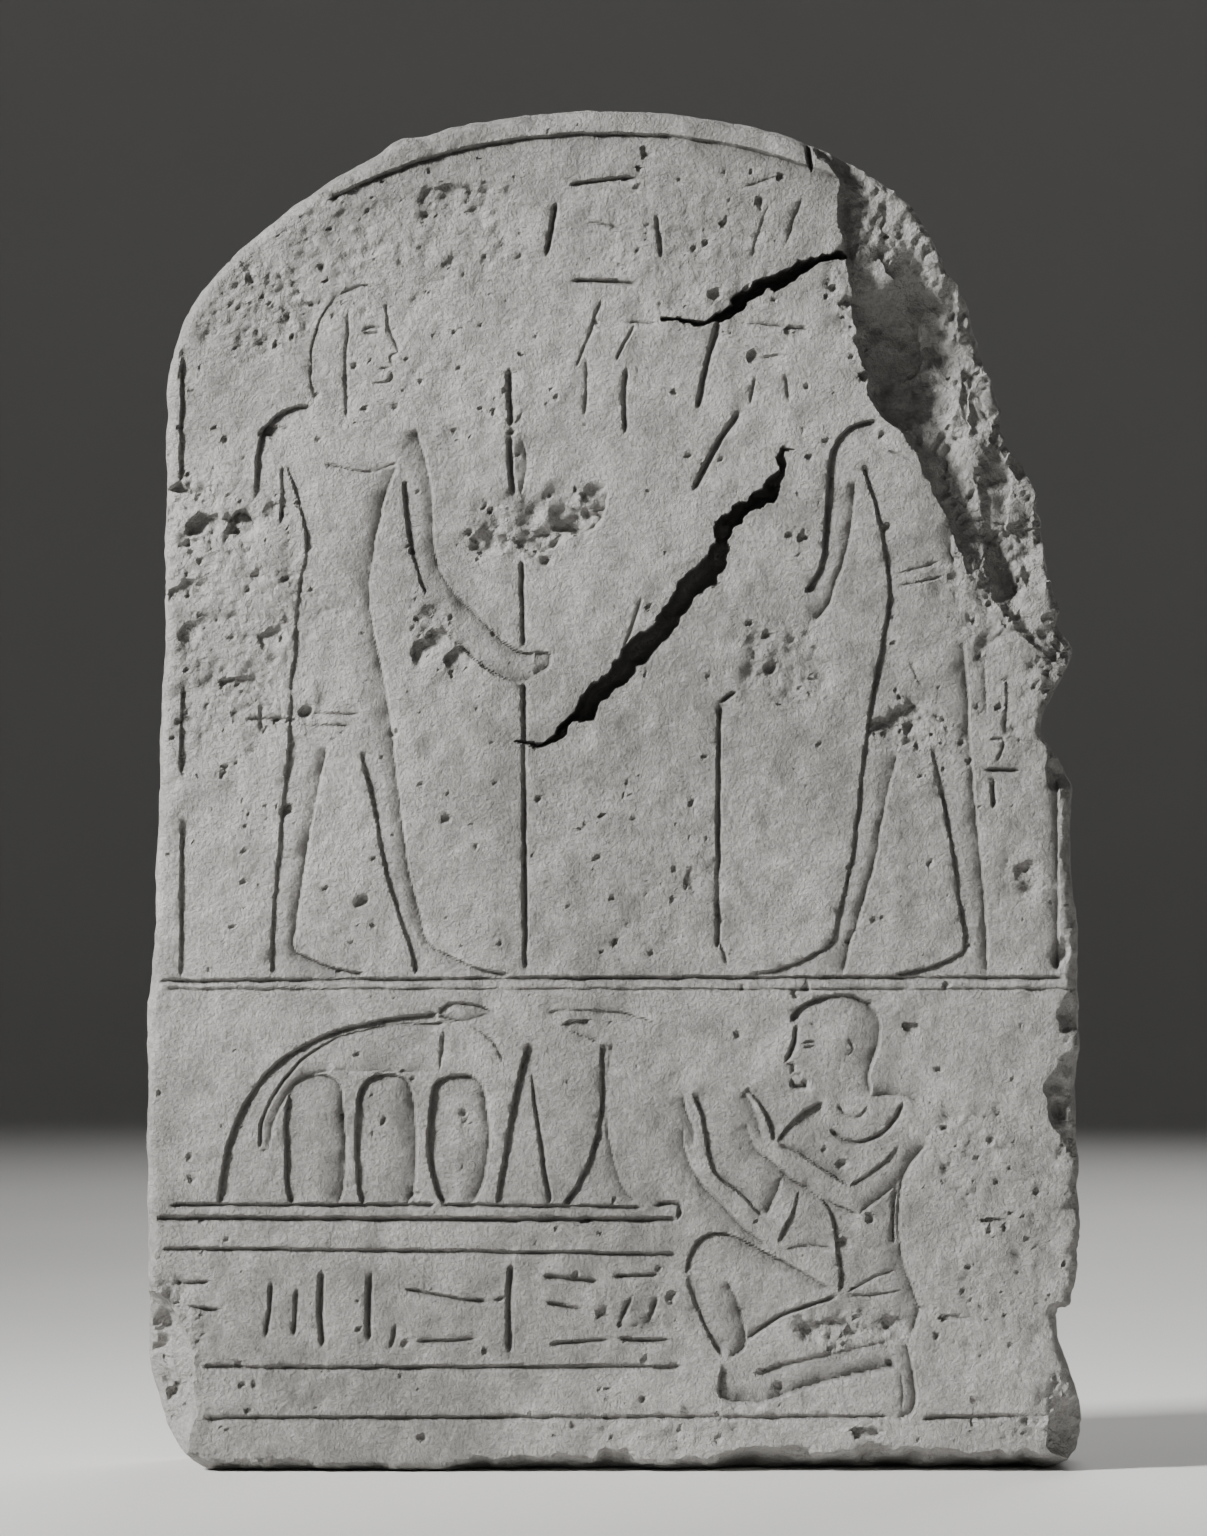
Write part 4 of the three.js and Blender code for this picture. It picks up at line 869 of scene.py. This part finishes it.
# Two triangles to each cell of a net
def netFaces(across, up):
    number = np.arange((up + 1) * (across + 1)).reshape(up + 1, across + 1)
    a, b, c, d = number[:-1, :-1], number[:-1, 1:], number[1:, 1:], number[1:, :-1]
    return np.concatenate([np.stack([a, b, c], -1).reshape(-1, 3), np.stack([a, c, d], -1).reshape(-1, 3)])


# Two triangles to each step between two rings of as many points
def bandFaces(ringA, ringB):
    nextA, nextB = np.roll(ringA, -1), np.roll(ringB, -1)
    return np.concatenate([np.stack([ringA, ringB, nextB], -1), np.stack([ringA, nextB, nextA], -1)])


# A band from a fine ring to a coarse one: two fans to each coarse point, and a triangle between them
def joiningFaces(fine, coarse, ratio):
    k = np.arange(len(fine))
    reach = np.where(k % ratio < ratio // 2, k // ratio, k // ratio + 1) % len(coarse)
    fans = np.stack([fine, coarse[reach], np.roll(fine, -1)], -1)
    middle = fine[ratio // 2 :: ratio]
    return np.concatenate([fans, np.stack([middle, coarse, np.roll(coarse, -1)], -1)])


# A ring of points as its four sides, which share their corners
def ringSides(ring, across, up):
    closed = np.concatenate([ring, ring[:1]])
    cornersAt = np.cumsum([0, across, up, across, up])
    return [closed[a : b + 1] for a, b in zip(cornersAt, cornersAt[1:])]


# Hand dressing of the edge, the sides and the back: height and size of the noise and of the chisel's facets
dressing = {
    "arris": (0.5, 7),
    "side": (0.55, 13),
    "sideFacets": (0.25, 7),
    "back": (0.5, 26),
    "backFacets": (0.5, 8),
    "backBend": (3, 12),
    "level": 5,  # height over which it fades out, so that the underside stays level
    "jaggedX": (60, 95),  # where the break makes the side rougher
    "jaggedZ": (230, 255),
}


# The whole stone as one closed skin: face net, worn front edge, sides, back edge, back net
def stoneSkin():
    across, up, ratio = stele["across"], stele["up"], stele["coarser"]
    radius, half = stele["arris"], stele["thickness"] / 2
    normal = outwards(rim)
    face = netBetween(*ringSides(rim - normal * radius, across, up)).reshape(-1, 2)
    depth, broken, _ = faceFields(*face.T)
    points = [np.stack([face[:, 0], -half + depth + broken, face[:, 1]], 1)]
    triangles = [netFaces(across, up)]
    ring = netEdge(across, up)
    count = len(face)
    rows = stele["edgeRows"]
    chip, chipSize = dressing["arris"]
    for row in range(1, rows + 1):  # the front edge: a quarter round, cut away where the stone is broken
        turn = row / rows * np.pi / 2
        flat = rim - normal * radius * (1 - np.sin(turn))
        depth, broken, _ = faceFields(*flat.T)
        y = -half + np.maximum(radius * (1 - np.cos(turn)), broken) + depth
        lost = chip * (row / rows) * (1 + fractal(flat[:, 0], y, flat[:, 1], chipSize, 3, 101))
        flat = flat - normal * (lost * np.clip(flat[:, 1] / dressing["level"], 0, 1))[:, None]
        points.append(np.stack([flat[:, 0], y, flat[:, 1]], 1))
        after = np.arange(len(rim)) + count
        triangles.append(bandFaces(ring, after))
        ring, count = after, count + len(rim)
    start = points[-1][::ratio]
    edge, out = rim[::ratio], normal[::ratio]
    level = np.clip(edge[:, 1] / dressing["level"], 0, 1)
    jagged = eased(edge[:, 0], *dressing["jaggedX"]) * eased(edge[:, 1], *dressing["jaggedZ"])
    (rough, roughSize), (facet, facetSize) = dressing["side"], dressing["sideFacets"]
    backRows = stele["backEdgeRows"]
    for row in range(1, stele["sideRows"] + backRows + 1):
        if row <= stele["sideRows"]:
            y = start[:, 1] + (half - radius - start[:, 1]) * row / stele["sideRows"]
            inset = 0.0
        else:
            turn = (row - stele["sideRows"]) / backRows * np.pi / 2
            y = np.full(len(edge), half - radius * (1 - np.sin(turn)))
            inset = radius * (1 - np.cos(turn))
        dressed = 0.5 + rough * fractal(edge[:, 0], y, edge[:, 1], roughSize, 3, 105)
        dressed = dressed + facet * facets(y + 200, edge[:, 0] + edge[:, 1] + 900, facetSize, 108)
        sunk = stele["sideDressing"] * (1 + jagged) * np.clip(dressed, 0, 2) * level
        flat = edge - out * (inset + sunk)[:, None]
        if row == stele["sideRows"] + backRows:
            break
        points.append(np.stack([flat[:, 0], y, flat[:, 1]], 1))
        after = np.arange(len(edge)) + count
        triangles.append(joiningFaces(ring, after, ratio) if row == 1 else bandFaces(ring, after))
        ring, count = after, count + len(edge)
    back = netBetween(*ringSides(flat, across // ratio, up // ratio)).reshape(-1, 2)
    x, z = back.T
    (rough, roughSize), (facet, facetSize) = dressing["back"], dressing["backFacets"]
    bend, bendSize = dressing["backBend"]
    bentX = x + 400 + bend * grain(x, 0, z, bendSize, 117)
    bentZ = z + 400 + bend * grain(x, 0, z, bendSize, 118)
    dressed = 0.5 + rough * fractal(x, 0, z, roughSize, 4, 111) + facet * facets(bentX, 0.6 * bentZ, facetSize, 114)
    y = half - stele["backDressing"] * np.clip(dressed, 0, 2)
    points.append(np.stack([x, y, z], 1))
    triangles.append(bandFaces(ring, netEdge(across // ratio, up // ratio) + count))
    triangles.append(netFaces(across // ratio, up // ratio)[:, ::-1] + count)
    return np.concatenate(points), np.concatenate(triangles)


# A mesh from whole arrays: points in millimetres, and triangles
def meshFrom(name, points, triangles):
    mesh = bpy.data.meshes.new(name)
    mesh.vertices.add(len(points))
    mesh.vertices.foreach_set("co", (points / 1000).astype(np.float32).ravel())
    mesh.loops.add(triangles.size)
    mesh.loops.foreach_set("vertex_index", triangles.astype(np.int32).ravel())
    mesh.polygons.add(len(triangles))
    mesh.polygons.foreach_set("loop_start", np.arange(0, triangles.size, 3, dtype=np.int32))
    mesh.update(calc_edges=True)
    mesh.validate()
    return mesh


# Fewer triangles where the stone is smooth, all of them where it is cut
def thinned(mesh, triangles):
    holder = bpy.data.objects.new("holder", mesh)
    bpy.context.scene.collection.objects.link(holder)
    modifier = holder.modifiers.new("thin", "DECIMATE")
    modifier.ratio = triangles / len(mesh.polygons)
    fewer = bpy.data.meshes.new_from_object(holder.evaluated_get(bpy.context.evaluated_depsgraph_get()))
    bpy.data.objects.remove(holder)
    return fewer


rim = dressedOutline(np.concatenate(outlineSides()))
order = np.argsort(np.arctan2(rim[:, 1] - stele["height"] / 2, rim[:, 0]))
rimTurn = np.arctan2(rim[:, 1] - stele["height"] / 2, rim[:, 0])[order]
rimReach = np.hypot(rim[:, 0], rim[:, 1] - stele["height"] / 2)[order]
skin = stoneSkin()
print("skin:", len(skin[0]), "points")
stoneMesh = thinned(meshFrom("carvedStone", *skin), stele["triangles"])
print("thinned to", len(stoneMesh.polygons), "triangles")


# Stores the shares of cut, wear and break at the final points, faded out towards the back; the cut share
# carries the painted shade of the cuts and cracks
def markShares(mesh):
    place = np.empty(len(mesh.vertices) * 3, np.float32)
    mesh.vertices.foreach_get("co", place)
    x, y, z = place.reshape(-1, 3).T.astype(float) * 1000
    _, _, shares = faceFields(x, z)
    front = 1 - eased(y, *surface["frontFade"])  # the sides and back carry no cuts and no wear
    shares["cut"] = shares["cut"] * front
    shares["worn"] = shares["worn"] * front
    shares["broken"] = shares["broken"] * (1 - eased(y, *surface["breakFade"]))  # the break runs on down the side
    for name, values in shares.items():
        mesh.attributes.new(name, "FLOAT", "POINT").data.foreach_set("value", values.astype(np.float32))


markShares(stoneMesh)
stoneMesh.shade_smooth()
stoneMesh.set_sharp_from_angle(angle=np.radians(stele["sharpAngle"]))
carvedStone = bpy.data.objects.new("carvedStone", stoneMesh)
bpy.context.scene.collection.objects.link(carvedStone)
print("stone shaded")


# One socket of a material, so that sums and products of sockets read as arithmetic
class Wire:
    def __init__(self, tree, socket=None):
        self.tree = tree
        self.socket = socket

    # Adds a node: its settings first, then the values or wires of its sockets
    def make(self, kind, settings=None, inputs=None, output=0):
        node = self.tree.nodes.new(kind)
        for name, value in (settings or {}).items():
            setattr(node, name, value)
        for name, value in (inputs or {}).items():
            if isinstance(value, Wire):
                self.tree.links.new(value.socket, node.inputs[name])
            else:
                node.inputs[name].default_value = value
        return Wire(self.tree, node.outputs[output]) if node.outputs else None

    def maths(self, operation, first, second):
        return self.make("ShaderNodeMath", {"operation": operation}, {0: first, 1: second})

    def __add__(self, other):
        return self.maths("ADD", self, other)

    def __radd__(self, other):
        return self.maths("ADD", other, self)

    def __mul__(self, other):
        return self.maths("MULTIPLY", self, other)

    def __rmul__(self, other):
        return self.maths("MULTIPLY", other, self)

    # 0 up to low, 1 from high
    def between(self, low, high):
        return self.make("ShaderNodeMapRange", {}, {"Value": self, "From Min": low, "From Max": high})

    def blend(self, first, second):
        return self.make("ShaderNodeMix", {"data_type": "RGBA"}, {0: self, 6: first, 7: second}, 2)


# An empty material, and the wire that adds nodes to it
def newMaterial(name):
    material = bpy.data.materials.new(name)
    material.use_nodes = True
    material.node_tree.nodes.clear()
    return material, Wire(material.node_tree)


# The shader and the output that every material ends in
def finish(wires, inputs):
    shader = wires.make("ShaderNodeBsdfPrincipled", {}, inputs)
    wires.make("ShaderNodeOutputMaterial", {}, {"Surface": shader})


# Each noise is a scale, a detail and a roughness, and a range is where it starts to show and is in full
limestone = {
    "dark": (0.285, 0.277, 0.262, 1),
    "pale": (0.50, 0.487, 0.464, 1),
    "fresh": (0.50, 0.487, 0.465, 1),
    # the dark of the sandy specks, and also the painted shade laid into cuts and cracks
    "specksAndShade": (0.10, 0.096, 0.09, 1),
    "clouds": (7, 4, 0.6),
    "blotches": (18, 6, 0.7),
    "mottle": (120, 6, 0.75),
    "stainRange": (0.43, 0.57),
    "freshness": (240, 2, 0.6),
    "freshRange": (0.3, 0.7),
    "specks": (620, 5, 0.8),  # sand-like, a millimetre or so
    "speckRange": (0.44, 0.64),
    "speckStrength": 0.36,
    "fine": (800, 4, 0.75),
    "coarse": (230, 4, 0.7),
    "pitScale": 420,
    "pitPatches": (60, 3, 0.6),
    "pitRange": (0.45, 0.7),
    "roughness": 0.92,
    "specular": 0.25,
    "grainDepth": 0.0012,
}


# Clouds of stain between two greys, fresh stone where broken or worn, dark specks, painted shade in the cuts
# and open cracks, sandy bump
def limestoneMaterial():
    material, wires = newMaterial("limestone")
    place = wires.make("ShaderNodeTexCoord", output=3)

    def noise(name):
        scale, detail, roughness = limestone[name]
        return wires.make(
            "ShaderNodeTexNoise", {}, {"Vector": place, "Scale": scale, "Detail": detail, "Roughness": roughness}
        )

    def share(name):
        return wires.make("ShaderNodeAttribute", {"attribute_name": name}, output=2)

    cutShade, worn, broken = share("cut"), share("worn"), share("broken")
    stain = (noise("clouds") * 0.3 + noise("blotches") * 0.35 + noise("mottle") * 0.35).between(
        *limestone["stainRange"]
    )
    colour = stain.blend(limestone["dark"], limestone["pale"])
    rawStone = (broken * 0.6 + worn * 0.35) * noise("freshness").between(*limestone["freshRange"])
    colour = rawStone.blend(colour, limestone["fresh"])
    speck = noise("specks").between(*limestone["speckRange"]) * limestone["speckStrength"]
    colour = speck.blend(colour, limestone["specksAndShade"])
    # Painted shade: cuts and open cracks are darkened towards near black, standing in for the shadow in them
    colour = (cutShade * 0.9).blend(colour, limestone["specksAndShade"])
    pits = wires.make("ShaderNodeTexVoronoi", {}, {"Vector": place, "Scale": limestone["pitScale"]}).between(0.0, 0.4)
    pitAmount = noise("pitPatches").between(*limestone["pitRange"]) * 0.35 + worn * 0.35
    height = noise("fine") * 1.5 + noise("coarse") * (1.1 + (worn + broken) * 1.3) + pits * pitAmount
    bump = wires.make(
        "ShaderNodeBump", {}, {"Strength": 1.0, "Distance": limestone["grainDepth"], "Height": height}
    )
    shine = {"Roughness": limestone["roughness"], "Specular IOR Level": limestone["specular"]}
    finish(wires, {"Base Color": colour, "Normal": bump, **shine})
    return material


stoneMesh.materials.clear()
stoneMesh.materials.append(limestoneMaterial())
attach(carvedStone, "root")
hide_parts("stele")
print("limestone set")

floor = {
    "radius": 3.6,
    "bend": 0.9,
    "height": 2.4,
    "around": 96,  # points round a ring
    "colour": (0.72, 0.71, 0.69, 1),
    "cloudScale": 3.0,
    "cloudDark": 0.95,
}


# A round floor that turns up into a low wall: the radius is level out to the bend, then a quarter circle, then
# the wall, and the whole profile goes once round
def backdropSheet():
    around = floor["around"]
    turn = np.linspace(0, np.pi / 2, 20)
    reach = np.concatenate([[0.01, 0.6, 1.6], floor["radius"] - floor["bend"] * (1 - np.sin(turn)), [floor["radius"]]])
    rise = np.concatenate([[0, 0, 0], floor["bend"] * (1 - np.cos(turn)), [floor["height"]]])
    angle = np.linspace(0, 2 * np.pi, around + 1)[:-1]
    ring = np.stack([np.cos(angle), np.sin(angle)], 1)
    points = np.concatenate([np.concatenate([r * ring, np.full((around, 1), z)], 1) for r, z in zip(reach, rise)])
    rows = np.arange(len(reach) * around).reshape(-1, around)
    bands = [bandFaces(inner, outer)[:, ::-1] for inner, outer in zip(rows, rows[1:])]
    centre = np.stack([np.full(around, len(points)), rows[0], np.roll(rows[0], -1)], 1)
    return np.concatenate([points, [[0, 0, 0]]]) * 1000, np.concatenate([*bands, centre])


# Pale and faintly clouded
def floorMaterial():
    material, wires = newMaterial("paleFloor")
    place = wires.make("ShaderNodeTexCoord", output=3)
    cloud = wires.make("ShaderNodeTexNoise", {}, {"Vector": place, "Scale": floor["cloudScale"], "Detail": 3.0})
    cloud = cloud.between(0.3, 0.7)
    darker = tuple(floor["cloudDark"] * v for v in floor["colour"][:3]) + (1,)
    finish(wires, {"Base Color": cloud.blend(darker, floor["colour"]), "Roughness": 0.9})
    return material


backdropMesh = meshFrom("backdrop", *backdropSheet())
backdropMesh.shade_smooth()
backdropMesh.materials.append(floorMaterial())
backdrop = bpy.data.objects.new("backdrop", backdropMesh)
bpy.context.scene.collection.objects.link(backdrop)

lights = {
    "key": {"from": (-1.45, -0.82, 1.1), "size": 0.3, "power": 8.6, "spread": 55},
    "fill": {"from": (0.6, -2.4, 1.7), "size": 1.6, "power": 1.5, "spread": 180},
    "rear": {"from": (0.5, 2.3, 1.5), "size": 1.4, "power": 15, "spread": 100},
    "sky": 0.065,
    "skyColour": (0.9, 0.92, 0.95, 1),
    "aim": (0, 0, 0.2),  # the stone's middle
}


# A square lamp turned to the stone's middle: its tilt and turn are the arctangents of the way it looks
def areaLight(name, settings):
    data = bpy.data.lights.new(name, "AREA")
    data.size, data.energy = settings["size"], settings["power"]
    data.spread = np.radians(settings["spread"])
    lamp = bpy.data.objects.new(name, data)
    lamp.visible_camera = False
    lamp.location = settings["from"]
    aim = np.array(lights["aim"]) - np.array(settings["from"])
    lamp.rotation_euler = (np.arctan2(np.hypot(aim[0], aim[1]), -aim[2]), 0, np.arctan2(-aim[0], aim[1]))
    bpy.context.scene.collection.objects.link(lamp)


for name in ("key", "fill", "rear"):
    areaLight(name, lights[name])
world = bpy.data.worlds.new("studio")
world.use_nodes = True
world.node_tree.nodes["Background"].inputs["Color"].default_value = lights["skyColour"]
world.node_tree.nodes["Background"].inputs["Strength"].default_value = lights["sky"]
bpy.context.scene.world = world
print("floor and lights set")
